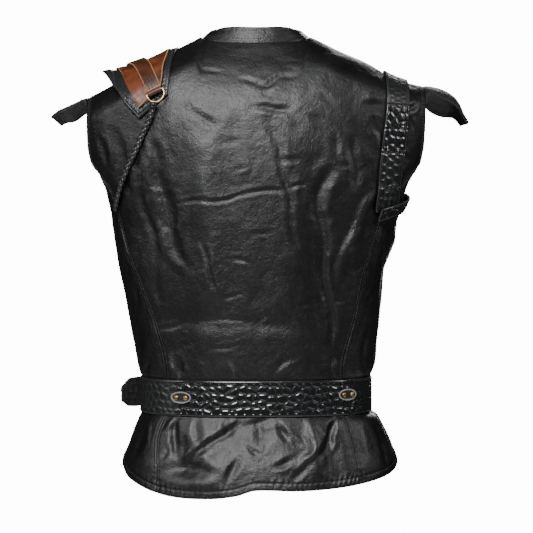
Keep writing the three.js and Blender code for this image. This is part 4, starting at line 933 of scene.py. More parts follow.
# ---- Fronts
# Two plain panels to the shoulder seams. The left one laps 15 mm over the right one, and
# both edges are turned and topstitched twice.
FRONT_ARMHOLE = [(208, -262), (204, -236), (206, -192), (215, -150), (232, -112)]
FRONT_OVERLAP, COLLAR_START, FRONT_NECK_COLUMNS = 15, 7, 5
UNDER_LAP = 2.6
LAP_COLUMNS = (3, 6)
FRONT_ROWS = {"skirt": 44, "belt": 10, "body": 76, "yoke": 84}
FRONT_COLUMNS = 96
FRONT_CREASES = on_face(FRONT, [
    (150, -150, 118, -190, 6, -1.8), (170, -215, 140, -232, 4, -1.4), (96, -190, 60, -214, 5, -1.1),
    (60, -300, 84, -352, 4, -0.9), (128, -330, 96, -342, 2.6, -0.7),
    (40, -404, 98, -396, 2.6, -0.8), (118, -440, 110, -492, 4, -1.6), (66, -462, 52, -496, 4, 1.2),
    (60, -556, 92, -600, 4, -1.8), (30, -560, 22, -610, 5, 1.4), (128, -556, 140, -600, 4, -2),
    (44, -618, 84, -630, 6, -1.5), (-152, -160, -120, -206, 6, -1.9),
    (-120, -206, -112, -262, 5, -1.4), (-62, -188, -92, -232, 4, -1),
    (-40, -300, -76, -292, 2.4, -0.6), (-98, -330, -88, -398, 4, -1.6),
    (-44, -402, -104, -410, 2.6, -0.8), (-120, -462, -114, -496, 4, 1.4),
    (-60, -476, -48, -497, 4, -1.1), (-40, -556, -62, -590, 4, -1.8),
    (-90, -556, -84, -604, 4, -2.2), (-126, -562, -140, -610, 5, 1.6),
    (-70, -612, -36, -626, 5, -1.3), (-176, -215, -150, -240, 4, -1.3),
    (160, -268, 172, -330, 5, -1.4),
])

solid_front_xs = np.concatenate([
    [-FRONT_OVERLAP, -COLLAR_START], neck_xs(COLLAR_START, FRONT_NECK_COLUMNS), shoulder_xs[1:],
])
front_xs = (ARMHOLE_HALF + FRONT_OVERLAP) * crowded(FRONT_COLUMNS) - FRONT_OVERLAP
for corner_x in (COLLAR_START, NECK_HALF):
    front_xs[np.argmin(np.abs(front_xs - corner_x))] = corner_x
front_u = np.interp(front_xs, solid_front_xs, np.linspace(0, 1, len(solid_front_xs)))
fronts = {}

for side, side_name in ((1, "left"), (-1, "right")):
    seam_turn = side * SIDE_SEAM

    def unwrapped(turn):
        return np.where(side * turn < 0, turn + side * 2 * math.pi, turn)

    def front_turn(climb):
        climb = np.asarray(climb, float)
        return unwrapped(turn_at(np.full_like(climb, -side * FRONT_OVERLAP), climb, FRONT))

    def front_level(z):
        start = front_turn(z)
        return places(start + (seam_turn - start) * front_u, z)

    hem_turns = front_level(HEM_MEAN)[:, 0]
    hem_line = places(hem_turns, hem_at(hem_turns))
    top_line = top_edge(side * front_xs, FRONT)
    top_line = places(unwrapped(top_line[:, 0]), top_line[:, 1])
    front_levels = [hem_line[0, 1], BELT_BOTTOM, BELT_TOP, UNDERARM, top_line[0, 1]]
    lines = [hem_line, front_level(BELT_BOTTOM), front_level(BELT_TOP), front_level(UNDERARM), top_line]
    vs = [
        crowded(FRONT_ROWS["skirt"], True, False),
        crowded(FRONT_ROWS["belt"], False, False),
        crowded(FRONT_ROWS["body"], False, False),
        crowded(FRONT_ROWS["yoke"], False, True),
    ]
    armhole_corners = (
        [np.array([seam_turn, UNDERARM])]
        + [place_at(np.array(side * x), np.array(z), FRONT) for x, z in FRONT_ARMHOLE]
        + [top_line[-1]]
    )
    patches = []
    for i, v in enumerate(vs):
        z = front_levels[i] + (front_levels[i + 1] - front_levels[i]) * v
        sides = [lines[j][-1, 1] for j in (i, i + 1)]
        end = places(seam_turn, sides[0] + (sides[1] - sides[0]) * v)
        if i == 3:
            end = smooth_places(armhole_corners, v)
        patches.append(patch(lines[i], lines[i + 1], places(front_turn(z), z), end, front_u, v))
    placed = stack(patches)
    row_of, column_of = np.indices(placed.shape[:2])
    below = sum(FRONT_ROWS[part] for part in ("skirt", "belt", "body"))
    shift = side * SEAM_GAP / 2 * ((column_of == FRONT_COLUMNS) & (row_of <= below))
    points, normals = cover(placed, shift, np.where(row_of == row_of.max(), -SEAM_GAP / 2, 0))
    if side == -1:
        under = 1 - smoothstep(front_u * (len(solid_front_xs) - 1), *LAP_COLUMNS)
        points = points - normals * (UNDER_LAP * under)[None, :, None]
    relief = panel_relief(points, normals, ("start", "end", "low"), FRONT_CREASES, 51 + side)
    relief = relief * smoothstep(distances(points)["high"], 0, 12)
    if side == -1:
        relief = relief * smoothstep(distances(points)["start"], 24, 50)
    face = points + normals * relief[..., None]
    facing = grid_normals(face, normals)
    fronts[side] = (points, normals)
    panel_name = f"front_{side_name}_leather"
    panel = leather_shell(panel_name, face, facing, PANEL_SHELL, [panel_leather, lining])
    note(panel, "relief", painted_shade_relief(relief, points, normals))
    rows = [
        inside_line(face, facing, "start", STITCH_IN, (6, 6)),
        inside_line(face, facing, "start", STITCH_IN + 22, (12, 12)),
        inside_line(face, facing, "end", STITCH_IN, (12, 12)),
        inside_line(face, facing, "low", HEM_IN, (3, 3)),
    ]
    stitches = stitching(f"front_{side_name}_stitching", rows, black_thread)
    for piece in (panel, stitches):
        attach(piece, "root")
    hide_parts(f"front_{side_name}")

# ---- Collar
# A low stand collar cut from one strip, sewn on the neckline with two rows of stitches and
# open at the centre front.
EDGE_GAP = 0.45
COLLAR_HEIGHT = (25.5, 18)  # at the middle and at the sides
COLLAR_LEAN = (0.2, 1.2)  # inwards for each unit of height, at the middle and at the sides
COLLAR_END = 14  # the width at each end over which it turns upright
COLLAR_ROWS = 18


def beside_edge(points, normals, inner):
    """A panel's edge moved off the panel by the width of the seam."""
    out = unit(np.cross(np.gradient(points, axis=0), normals))
    out = out * np.where((out * (points - inner)).sum(-1, keepdims=True) < 0, -1, 1)
    return points + out * EDGE_GAP


def neck_part(points, normals, keep):
    return [grid[keep] for grid in (points[-1], normals[-1], points[-2])]


on_neck = (front_xs >= COLLAR_START) & (front_xs <= NECK_HALF)
right_part = neck_part(*fronts[-1], on_neck)
back_part = neck_part(back_points, back_normals, np.abs(back_xs) < NECK_HALF)
left_part = [grid[::-1] for grid in neck_part(*fronts[1], on_neck)]
joined = [np.concatenate(parts) for parts in zip(right_part, back_part, left_part)]
collar_base = beside_edge(*joined)
edge_way = unit(np.gradient(collar_base, axis=0))
inward = unit(-collar_base * [1, 1, 0])
aside = np.minimum((collar_base[:, :1] / NECK_HALF) ** 4, 1)
rise = inward * (COLLAR_LEAN[0] + (COLLAR_LEAN[1] - COLLAR_LEAN[0]) * aside) + [0, 0, 1]
rise = rise - edge_way * (rise * edge_way).sum(-1, keepdims=True)
# The ends stand upright at the centre front, apart from each other.
upright = np.clip((np.abs(collar_base[:, :1]) - COLLAR_START) / COLLAR_END, 0, 1)
rise[:, :1] *= np.where(collar_base[:, 1:2] < 0, upright, 1)
rise = unit(rise)
share = crowded(COLLAR_ROWS)
height = COLLAR_HEIGHT[0] + (COLLAR_HEIGHT[1] - COLLAR_HEIGHT[0]) * aside
points = collar_base[None] + (rise * height)[None] * share[:, None, None]
normals = grid_normals(points, points * [1, 1, 0])
away = distances(points)
relief = seam_relief(away["low"], away["start"], 71) + seam_relief(away["high"], away["start"], 73) * 0.7
relief = relief + 0.45 * rumple(points, 14, 75) - 0.6 * np.exp(-((away["low"] - 8) ** 2))
lean = (away["start"] + 0.7 * away["high"]) % 12 - 6
near_top = smoothstep(away["high"], 2, 4) * (1 - smoothstep(away["high"], 8, 10))
relief = relief - 0.55 * bell(lean, 1.2) * near_top
face = points + normals * relief[..., None]
facing = grid_normals(face, normals)
collar = leather_shell("collar_leather", face, facing, WALL - 0.2, [panel_leather, lining])
note(collar, "relief", relief)
collar_stitches = stitching(
    "collar_stitching",
    [
        inside_line(face, facing, "low", STITCH_IN, (3, 3)),
        inside_line(face, facing, "low", STITCH_IN + 4, (3, 3)),
        inside_line(face, facing, "high", STITCH_IN + 1, (3, 3)),
    ],
    black_thread,
)
for piece in (collar, collar_stitches):
    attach(piece, "root")
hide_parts("collar")

# ---- Shoulder wings
# A stiff double flap of the same leather stands out from the top of each armhole. The right
# one droops to a curled point and has a folded strip along its crown.
WINGS = {  # outwards: crown's distance and height, half its length, how far its ends hang
    1: [
        (254, -90.5, 50, 7), (267, -96.5, 50, 9), (280, -102, 48, 14.5), (292, -108, 46, 11),
        (302, -116, 42, 8),
    ],
    -1: [
        (258, -72.5, 52, 20), (272, -76, 54, 27), (287, -83.5, 51, 26.5), (298, -95.5, 45, 16.5),
        (306, -112, 36, 3), (314, -125, 24, 2),
    ],
}
WING_TUCK, WING_ROOT = 8, -102
WING_ROWS, WING_COLUMNS = 56, 90

wing_leather = black_leather("wing_leather", (0.006, 0.0058, 0.0055), (0.013, 0.0125, 0.012), -0.08)


def smooth_rows(rows, shares):
    """Rows of points on smooth lines through the given rows."""
    at = shares * (len(rows) - 1)
    i = np.minimum(at.astype(int), len(rows) - 2)
    t = (at - i)[:, None, None]
    before, after = rows[np.maximum(i - 1, 0)], rows[np.minimum(i + 2, len(rows) - 1)]
    return cubic(before, rows[i], rows[i + 1], after, t)


def resampled(points, count):
    run = run_of(points)
    at = crowded(count) * run[-1]
    return read_at(at, run, points)


for side, side_name in ((1, "left"), (-1, "right")):
    column = -1 if side == 1 else 0
    edges = [
        (back_points[:, column], back_normals[:, column], back_points[:, -2 if side == 1 else 1]),
        tuple(
            grid[::-1, k] for grid, k in ((fronts[side][0], -1), (fronts[side][1], -1), (fronts[side][0], -2))
        ),
    ]
    root = [
        np.concatenate([grid[edge[0][:, 2] > WING_ROOT] for grid, edge in zip(pair, (edges[0], edges[1]))])
        for pair in zip(*edges)
    ]
    seam = resampled(beside_edge(*root), WING_COLUMNS)
    across = seam[:, 1] - RIDGE_Y
    q = across / np.abs(across).max()
    table = np.array(WINGS[side], float)
    solid_rows = np.stack([
        seam,
        *(
            np.stack([side * (x - WING_TUCK * q * q), RIDGE_Y + q * half, z - hang * q * q], -1)
            for x, z, half, hang in table
        ),
    ])
    points = smooth_rows(solid_rows, crowded(WING_ROWS))
    normals = grid_normals(points, np.array([0.0, 0, 1]))
    away = distances(points)
    edge_away = np.minimum(np.minimum(away["start"], away["end"]), away["high"])
    relief = -0.6 * bell(edge_away, 1.5) - 0.35 * bell(edge_away - 5, 1.1)
    relief = relief + 0.5 * rumple(points, 16, 81 + side) + 0.2 * rumple(points, 6, 85)
    if side == 1:
        relief = relief + 0.22 * np.sin(points[..., 1] / 1.15 + 2 * rumple(points, 12, 87))
    else:
        band = np.abs(q)[None] * table[:, 2].mean()
        relief = relief + 1.1 * (1 - smoothstep(band, 5.5, 6.8)) - 0.4 * np.exp(-((band - 7.5) ** 2))
    relief = relief * smoothstep(away["low"], 0, 4)
    face = points + normals * relief[..., None]
    facing = grid_normals(face, normals)
    wing = leather_shell(f"wing_{side_name}_leather", face, facing, WALL, [wing_leather])
    note(wing, "relief", relief)
    rows = [inside_line(face, facing, edge, 5.0, (8, 8)) for edge in ("start", "end", "high")]
    stitches = stitching(f"wing_{side_name}_stitching", rows, black_thread)
    for piece in (wing, stitches):
        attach(piece, "root")
    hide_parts(f"wing_{side_name}")

# ---- Left shoulder flap
# A puffy flap of black leather lies over the left shoulder, with two rows of stitches round
# its rim. A brown flap and a brown strap lie on it, both with raw tan edges.
FLAP_INNER, FLAP_SPAN = 113, 101
FLAP_RISE, FLAP_BOW = 24, 3  # how far it stands off at its outer end, and how it rises
FLAP_FALL = (0.8, 75)  # it comes back to the shoulder below the crest
FLAP_SEAT, LAYER_GAP = 1.1, 1.4
LAYERS = {  # wall, ends on the crest, corners of the back's edge and their steps, front's corners
    "base": (
        2.5, (113, 214), [(124, -95), (164.5, -128.5), (184, -107), (201, -82.5)], (4, 3, 3),
        [(121, -88), (198, -118)],
    ),
    "overlay": (
        2, (123, 197), [(133, -83), (152.5, -103), (163, -113), (181, -83)], (3, 1, 3),
        [(130, -82), (188, -104)],
    ),
    "strap": (2.5, (163, 183), [(132.8, -85.3), (150.8, -93.9)], (2,), [(146, -80), (166, -88)]),
}
LAYER_ROWS = 62
LAYER_STEPS = {"base": 7, "overlay": 9, "strap": 11}  # columns for each step


def over_shoulder(crest_ends, corners, counts, front_ends, steps, lift):
    """A grid over the left shoulder: from the back's pointed edge over the crest to the front's."""
    u = np.linspace(0, 1, sum(counts) * steps + 1)
    top_x = crest_ends[0] + (crest_ends[1] - crest_ends[0]) * u
    v = crowded(LAYER_ROWS, True, False)[:, None]
    shares = np.concatenate([[0], np.cumsum(counts)]) / sum(counts)
    strips = []
    for face, ends, at in ((BACK, corners, shares), (FRONT, front_ends, (0, 1))):
        xs, zs = np.array(ends, float).T
        x = np.interp(u, at, xs) * (1 - v) + top_x * v
        climb = np.interp(u, at, climb_of(xs, zs)) * (1 - v) + crest(top_x) * v
        points, normals = form(angle_at(x, climb, face), climb)
        out = np.maximum((x - FLAP_INNER) / FLAP_SPAN, 0) ** FLAP_BOW
        fall = FLAP_FALL[0] * smoothstep(crest(x) - climb, 0, FLAP_FALL[1])
        seat = FLAP_SEAT + FLAP_RISE * out * (1 - fall)
        strips.append((points + normals * (seat + lift)[..., None], normals))
    return [np.concatenate([back, front[-2::-1]]) for back, front in zip(*strips)]


def brown_hide(name, dark, light, wear):
    """Waxed brown leather: cloudy, with painted shade darker in its hollows, reddish where it is rubbed, and
    tan along its cut edges.
    """
    place, set_shader = finish(name)
    clouds = place.noise(place, 42, 4, 0.6)
    fine = place.noise(place, 320, 4, 0.6)
    pores = place.cells(place, 900, "SMOOTH_F1")
    # Painted shade: the relief attribute makes lower places darker and raised ones paler, over random clouds.
    shade = (clouds.between(0.3, 0.72) * 0.7 + fine * 0.4 + place.attribute("relief") * 0.25).clamped()
    base = shade.tint(dark, light)
    rubbed = (place.attribute("rubbed") + (fine - 0.5) * 0.5).between(0.45, 0.85)
    return set_shader(
        Base_Color=rubbed.tint(base, wear),
        Roughness=0.34 + fine * 0.16 + rubbed * 0.14,
        Normal=place.bump(pores + fine, 0.00018, 0.45),
        Specular_IOR_Level=0.5,
    )


def raw_edge(name, dark, light):
    """The cut edge of thick leather: pale, dry and fibrous."""
    place, set_shader = finish(name)
    fibres = place.noise(place, 700, 4, 0.7)
    return set_shader(
        Base_Color=fibres.tint(dark, light),
        Roughness=0.62 + fibres * 0.25,
        Normal=place.bump(fibres, 0.0002, 0.6),
    )


flap_leather = black_leather("flap_leather", (0.008, 0.008, 0.0085), (0.02, 0.0205, 0.022), 0.04)
brown_leather = brown_hide("brown_leather", (0.022, 0.006, 0.0026), (0.15, 0.04, 0.0135), (0.4, 0.18, 0.072))
strap_leather = brown_hide(
    "strap_leather", (0.022, 0.0068, 0.0032), (0.095, 0.029, 0.011), (0.33, 0.15, 0.062),
)
tan_edge = raw_edge("tan_edge", (0.27, 0.13, 0.055), (0.5, 0.28, 0.13))
flesh_side = raw_edge("flesh_side", (0.1, 0.05, 0.024), (0.17, 0.09, 0.045))

lift = 0
for layer, (wall, crest_ends, corners, counts, front_ends) in LAYERS.items():
    points, normals = over_shoulder(crest_ends, corners, counts, front_ends, LAYER_STEPS[layer], lift + wall)
    lift += wall + LAYER_GAP
    away = distances(points)
    rim = np.minimum(np.minimum(away["low"], away["high"]), np.minimum(away["start"], away["end"]))
    along = np.where(rim == away["low"], away["start"], away["low"])
    name = f"shoulder_{layer}_left"
    if layer == "base":
        crinkle = np.sin(along / 1.15 + 3 * rumple(points, 11, 91))
        relief = (
            -0.9 * bell(rim, 1.8)
            - 0.45 * bell(rim - 4.5, 1.1)
            + (0.9 + 0.7 * crinkle) * bell(rim - 9.5, 3.6)
            - 0.7 * bell(rim - 15, 1.3)
            + 0.8 * rumple(points, 17, 93) * smoothstep(rim, 15, 24)
        )
        materials, slot, thread = [flap_leather, lining], "black_leather", black_thread
        insets = (4.5, 15)
    elif layer == "overlay":
        relief = 1.1 * rumple(points, 17, 95) + 0.35 * rumple(points, 6, 96) - 0.35 * bell(rim, 0.9)
        materials, slot = [brown_leather, flesh_side, tan_edge], "brown_leather"
        insets = ()
    else:
        wrinkle = np.sin(away["start"] / 0.75 + 2.5 * rumple(points * [1, 1, 0.4], 9, 97))
        relief = 0.16 * wrinkle + 0.5 * rumple(points, 12, 98) - 0.35 * bell(rim, 0.9)
        materials, slot = [strap_leather, flesh_side, tan_edge], "brown_leather"
        insets = ()
    face = points + normals * relief[..., None]
    facing = grid_normals(face, normals)
    flap = leather_shell(f"{name}_leather", face, facing, wall, materials)
    note(flap, "relief", relief)
    note(flap, "rubbed", bell(rim, 1.6), rim=1.0)
    pieces = [flap]
    if insets:
        rows = [
            inside_line(face, facing, edge, inset, (inset, inset))
            for inset in insets
            for edge in ("low", "start", "end", "high")
        ]
        pieces.append(stitching(f"{name}_stitching", rows, thread, 2.6, 3.6))
    for piece in pieces:
        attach(piece, "root")
    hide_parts(name)
    under = {
        "base": ["back_panel", "front_left"],
        "overlay": ["shoulder_base_left"],
        "strap": ["shoulder_overlay_left"],
    }

# ---- Ring and its loop
# A D-ring of brass wire hangs by its straight bar in a rolled loop at the end of the brown
# strap. The loop is a scrap of the same leather, rolled and glued.
RING_AT = (139.8, -94.2, 11.8)  # place on the back, and how far out
RING_TILT = math.radians(25.5)
RING_RADIUS, RING_WIRE, RING_DROP = 12.4, 1.3, 3
LOOP_RADIUS, LOOP_WALL, LOOP_LENGTH = 4, 1.7, 22


def place_on_back(x, z, lift, tilt=0.0):
    """The frame of a place on the back: level, up and outwards, turned by the tilt. In metres."""
    point, normal = (grid.reshape(3) for grid in form_at(np.array(float(x)), np.array(float(z)), BACK))
    level = unit(np.cross([0, 0, 1], normal))
    axes = Matrix(np.stack([level, np.cross(normal, level), normal], -1).tolist())
    place = Matrix.Translation(Vector((point + normal * lift) / 1000))
    return place @ axes.to_4x4() @ Matrix.Rotation(tilt, 4, "Z")


def start_piece():
    bpy.ops.object.select_all(action="DESELECT")


def edit_all():
    bpy.ops.object.mode_set(mode="EDIT")
    bpy.ops.mesh.select_all(action="SELECT")


def end_edit():
    bpy.ops.object.mode_set(mode="OBJECT")


def joined(parts, name):
    start_piece()
    for part in parts:
        part.select_set(True)
    bpy.context.view_layer.objects.active = parts[0]
    bpy.ops.object.join()
    parts[0].name = name
    parts[0].data.name = name
    return parts[0]


def apply_modifier(piece, kind, **settings):
    """Adds a modifier with its settings and applies it."""
    start_piece()
    piece.select_set(True)
    bpy.context.view_layer.objects.active = piece
    modifier = piece.modifiers.new(kind, kind)
    for key, value in settings.items():
        setattr(modifier, key, value)
    bpy.ops.object.modifier_apply(modifier=modifier.name)


def seat(piece, frame_of_place, material, slot):
    """Moves a piece's mesh to its place, and gives it its material and body. The slot is not used."""
    start_piece()
    piece.select_set(True)
    bpy.context.view_layer.objects.active = piece
    bpy.ops.object.transform_apply(location=True, rotation=True, scale=True)
    piece.data.transform(frame_of_place)
    piece.data.materials.clear()
    piece.data.materials.append(material)
    bpy.ops.object.shade_smooth()
    piece.select_set(False)
    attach(piece, "root")


def metal(name, dark, light, rough):
    """Old brass: brown in its hollows, brighter where it is rubbed."""
    place, set_shader = finish(name)
    tarnish = place.noise(place, 260, 4, 0.65)
    scratches = place.noise(place, 1900, 3, 0.6)
    return set_shader(
        Base_Color=tarnish.between(0.36, 0.62).tint(dark, light),
        Metallic=1.0,
        Roughness=rough + tarnish * 0.18 + scratches * 0.08,
        Normal=place.bump(scratches, 0.00006, 0.35),
    )


ring_brass = metal("ring_brass", (0.36, 0.22, 0.085), (0.8, 0.6, 0.3), 0.2)

start_piece()
bpy.ops.mesh.primitive_torus_add(
    major_radius=RING_RADIUS / 1000, minor_radius=RING_WIRE / 1000,
    major_segments=72, minor_segments=16, location=(0, -RING_DROP / 1000, 0),
)
bow = bpy.context.object
edit_all()
bpy.ops.mesh.bisect(plane_co=(0, 0, 0), plane_no=(0, 1, 0), clear_outer=True)
end_edit()
reach = math.sqrt(RING_RADIUS ** 2 - RING_DROP ** 2)
start_piece()
bpy.ops.mesh.primitive_cylinder_add(
    vertices=20, radius=RING_WIRE / 1000, depth=2 * reach / 1000, rotation=(0, math.pi / 2, 0),
)
parts = [bow, bpy.context.object]
for way in (-1, 1):
    start_piece()
    bpy.ops.mesh.primitive_uv_sphere_add(
        segments=20, ring_count=12, radius=RING_WIRE / 1000, location=(way * reach / 1000, 0, 0),
    )
    parts.append(bpy.context.object)
ring = joined(parts, "d_ring_left_brass")
apply_modifier(ring, "REMESH", mode="VOXEL", voxel_size=0.00034)
apply_modifier(ring, "SMOOTH", factor=0.5, iterations=3)
ring_place = place_on_back(*RING_AT, RING_TILT)
seat(ring, ring_place, ring_brass, "brass")
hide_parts("d_ring_left")

start_piece()
bpy.ops.mesh.primitive_cylinder_add(
    vertices=40, radius=LOOP_RADIUS / 1000, depth=LOOP_LENGTH / 1000, end_fill_type="NOTHING",
    rotation=(0, math.pi / 2, 0),
)
loop = bpy.context.object
loop.name = "ring_loop_left_leather"
edit_all()
bpy.ops.mesh.subdivide(number_cuts=5)
end_edit()
apply_modifier(loop, "SOLIDIFY", thickness=LOOP_WALL / 1000, offset=-1)
apply_modifier(loop, "BEVEL", width=0.0005, segments=2, limit_method="ANGLE")
seat(loop, ring_place, strap_leather, "brown_leather")
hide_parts("ring_loop_left")

# ---- Braid
# A plait of three black leather laces is knotted round the ring and runs down to the foot of
# the armhole, where it goes under the panel's edge.
BRAID_ROUTE = [  # place on the back, and how far out its middle lies
    (140.9, -109.3, 11.3), (144.8, -121.6, 7.6), (149.8, -133, 5.2), (156, -145, 4.7), (166, -168, 4.7),
    (179, -195, 4.7), (189, -218.5, 4.7), (195.5, -239.5, 4.7), (199, -254, 4.6),
]
LACE_RADIUS = 1.95
PLAIT = {"swing": 2.4, "depth": 1.15, "period": 27.0, "steps": 300}
LACE_SIDES = 10

braid_leather = black_leather("braid_leather", (0.007, 0.007, 0.0072), (0.022, 0.022, 0.023), 0.12)
route = np.array([
    np.concatenate([(point + normal * lift).reshape(3), normal.reshape(3)])
    for x, z, lift in BRAID_ROUTE
    for point, normal in [form_at(np.array(float(x)), np.array(float(z)), BACK)]
])
spine = smooth_rows(route[:, None, :], np.linspace(0, 1, PLAIT["steps"]))[:, 0]
middle, upright = spine[:, :3], unit(spine[:, 3:])
along = unit(np.gradient(middle, axis=0))
aside = unit(np.cross(upright, along))
upright = unit(np.cross(along, aside))
run = run_of(middle)
around = np.arange(LACE_SIDES) * 2 * math.pi / LACE_SIDES
corners, faces = [], []
for strand in range(3):
    phase = 2 * math.pi * (run / PLAIT["period"] + strand / 3)
    lace = (
        middle
        + aside * (PLAIT["swing"] * np.sin(phase))[:, None]
        + upright * (PLAIT["depth"] * np.sin(2 * phase))[:, None]
    )
    way = unit(np.gradient(lace, axis=0))
    flat = unit(np.cross(upright, way))
    high = np.cross(way, flat)
    ring_of = (
        lace[:, None]
        + LACE_RADIUS * 1.12 * np.cos(around)[None, :, None] * flat[:, None]
        + LACE_RADIUS * 0.86 * np.sin(around)[None, :, None] * high[:, None]
    )
    base = strand * PLAIT["steps"] * LACE_SIDES
    for i in range(PLAIT["steps"] - 1):
        for k in range(LACE_SIDES):
            a, b = base + i * LACE_SIDES + k, base + i * LACE_SIDES + (k + 1) % LACE_SIDES
            faces.append((a, a + LACE_SIDES, b + LACE_SIDES, b))
    faces.append(tuple(base + k for k in range(LACE_SIDES)))
    faces.append(tuple(base + (PLAIT["steps"] - 1) * LACE_SIDES + k for k in reversed(range(LACE_SIDES))))
    corners.append(ring_of.reshape(-1, 3))
braid = closed_mesh("braided_cord_left_laces", corners, faces, braid_leather)
# Painted light and shade: a lace is paler where it rides on top at a crossing and darker where it dips under,
# through the relief attribute.
crossing_shade = np.concatenate([
    np.repeat(np.sin(2 * (2 * math.pi * (run / PLAIT["period"] + strand / 3))), LACE_SIDES)
    for strand in range(3)
])
crossing_shade_attribute = braid.data.attributes.new("relief", "FLOAT", "POINT")
crossing_shade_attribute.data.foreach_set("value", crossing_shade.astype(np.float32))
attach(braid, "root")
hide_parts("braided_cord_left")

KNOT_TURNS, KNOT_RADIUS, KNOT_LACE = 4, 4.1, 1.35
KNOT_PITCH, KNOT_TIGHT = 2.15, 0.82  # between its turns, and how much smaller the end ones are
KNOT_AT = 10  # the step of the plait where it sits
parts = []
for turn in range(KNOT_TURNS):
    start_piece()
    bpy.ops.mesh.primitive_torus_add(
        major_radius=KNOT_RADIUS * (KNOT_TIGHT if turn in (0, KNOT_TURNS - 1) else 1) / 1000,
        minor_radius=KNOT_LACE / 1000, major_segments=32, minor_segments=10,
        location=(0, 0, KNOT_PITCH * (turn - 1.5) / 1000), rotation=(0.14 * (-1) ** turn, 0.1, 0),
    )
    parts.append(bpy.context.object)
start_piece()
bpy.ops.mesh.primitive_torus_add(
    major_radius=3.5 / 1000, minor_radius=1.3 / 1000, major_segments=32, minor_segments=10,
    location=(0.4 / 1000, 0, -5.2 / 1000), rotation=(math.pi / 2, 0, 0.25),
)
parts.append(bpy.context.object)
knot = joined(parts, "braid_knot_left")
knot_axes = np.stack([aside[KNOT_AT], upright[KNOT_AT], -along[KNOT_AT]], -1)
knot_axes[:, 0] = np.cross(knot_axes[:, 1], knot_axes[:, 2])
knot_place = Matrix.Translation(Vector(middle[KNOT_AT] / 1000)) @ Matrix(knot_axes.tolist()).to_4x4()
seat(knot, knot_place, braid_leather, "black_leather")
path = middle[np.linspace(0, PLAIT["steps"] - 1, 24).astype(int)] / 1000

# ---- Right shoulder strap
# A broad strap of embossed leather lies over the right shoulder, made of lengths stitched end
# to end. A narrow one crosses under the arm from its back end to its front end.
HARNESS = {  # height, distance of the inner and the outer edge from the centre line
    BACK: [
        (-250, 168, 203), (-223, 173, 206), (-192, 176, 209), (-156, 180, 215),
        (-127, 184, 217), (-102, 186, 219), (-56, 187, 220),
    ],
    FRONT: [(-250, 160, 192), (-192, 160, 193), (-150, 168, 201), (-110, 181, 214), (-56, 187, 220)],
}
HARNESS_END = {BACK: -259, FRONT: -258}
HARNESS_LIFT, STRAP_WALL, HARNESS_MIDDLE = 1.2, 3, 200
HARNESS_ROWS, HARNESS_COLUMNS = 190, 30
HARNESS_SEAMS = (-107, -142, -176, -225)
UNDERARM_STRAP = [  # angle, height, how much nearer to the wearer than the panels
    (-64, -263, 0), (-75.5, -249.5, 0), (-78.5, -246, 3), (-82, -244, 8.7), (-90, -242, 16.7),
    (-98, -242.5, 11), (-103, -244.5, 5.7), (-107, -247, 2.3), (-111.5, -253.5, 0), (-119, -262, 0),
]
UNDERARM_HALF, UNDERARM_LIFT = 8.5, HARNESS_LIFT + STRAP_WALL + 0.5
UNDERARM_ROWS, UNDERARM_COLUMNS = 16, 150
SCALE_SIZE = (12.0, 10.4)  # an embossed scale, along the strap and across it


def scales(along, across, seed, size=SCALE_SIZE):
    """How far each place lies inside its scale, and one number for each scale."""
    chance = np.random.default_rng(seed)
    jitter = chance.uniform(-0.34, 0.34, (64, 64, 2))
    tone = chance.uniform(0, 1, (64, 64))
    column = np.floor(across / size[1]).astype(int)
    nearest, second = np.full(along.shape, 9.0), np.full(along.shape, 9.0)
    tones = np.zeros(along.shape)
    for dj in (-1, 0, 1):
        j = column + dj
        shift = 0.5 * (j % 2)
        row = np.floor(along / size[0] - shift).astype(int)
        for di in (-1, 0, 1):
            i = row + di
            push = jitter[i % 64, j % 64]
            du = along / size[0] - (i + 0.5 + shift + push[..., 0])
            dv = across / size[1] - (j + 0.5 + push[..., 1])
            far = (np.abs(du) ** 2.6 + np.abs(dv) ** 2.6) ** (1 / 2.6)
            closer = far < nearest
            second = np.where(closer, nearest, np.minimum(second, far))
            tones = np.where(closer, tone[i % 64, j % 64], tones)
            nearest = np.where(closer, far, nearest)
    return second - nearest, tones


def embossed_relief(along, across, width, border, seed, size=SCALE_SIZE):
    """The relief of an embossed strap with a smooth border, and how deep each place lies in it."""
    inside, tones = scales(along, across, seed, size)
    dome = smoothstep(inside, 0.03, 0.34)
    from_edge = np.minimum(across, width - across)
    field = smoothstep(from_edge, border - 0.4, border + 0.6)
    crease = bell(from_edge - border, 0.8)
    relief = -0.95 * (1 - dome) * field + 0.35 * (tones - 0.5) * dome * field
    relief = relief - 0.35 * crease - 0.5 * bell(from_edge, 1.1)
    return relief, (1 - dome) * field


def embossed_hide(name, dark, light, rough):
    """Patent calf embossed with scales: glossy domes, and dull grooves with painted shade that darkens them.
    """
    place, set_shader = finish(name)
    groove = place.attribute("groove")
    sheen = place.noise(place, 30, 2)
    fine = place.noise(place, 420, 4, 0.6)
    dull = place.attribute("dull")
    return set_shader(
        # Painted shade: the groove attribute darkens the grooves between the scales, and a fine noise adds
        # random tone.
        Base_Color=(groove * 0.4 + fine * 0.45).clamped().tint(light, dark),
        Roughness=rough + groove * 0.2 + fine * 0.08 + sheen * 0.06 + dull * 0.22,
        Normal=place.bump(fine, 0.00025, 0.35),
        Specular_IOR_Level=0.65,
        Coat_Weight=(dull * -0.75 + 0.6).clamped(),
        Coat_Roughness=0.1,
    )


scale_leather = embossed_hide("scale_leather", (0.0022, 0.0022, 0.0024), (0.011, 0.0114, 0.0125), 0.1)
strap_edge = raw_edge("strap_edge", (0.008, 0.008, 0.008), (0.018, 0.018, 0.018))
strap_under = raw_edge("strap_under", (0.006, 0.0058, 0.0056), (0.012, 0.0118, 0.0115))


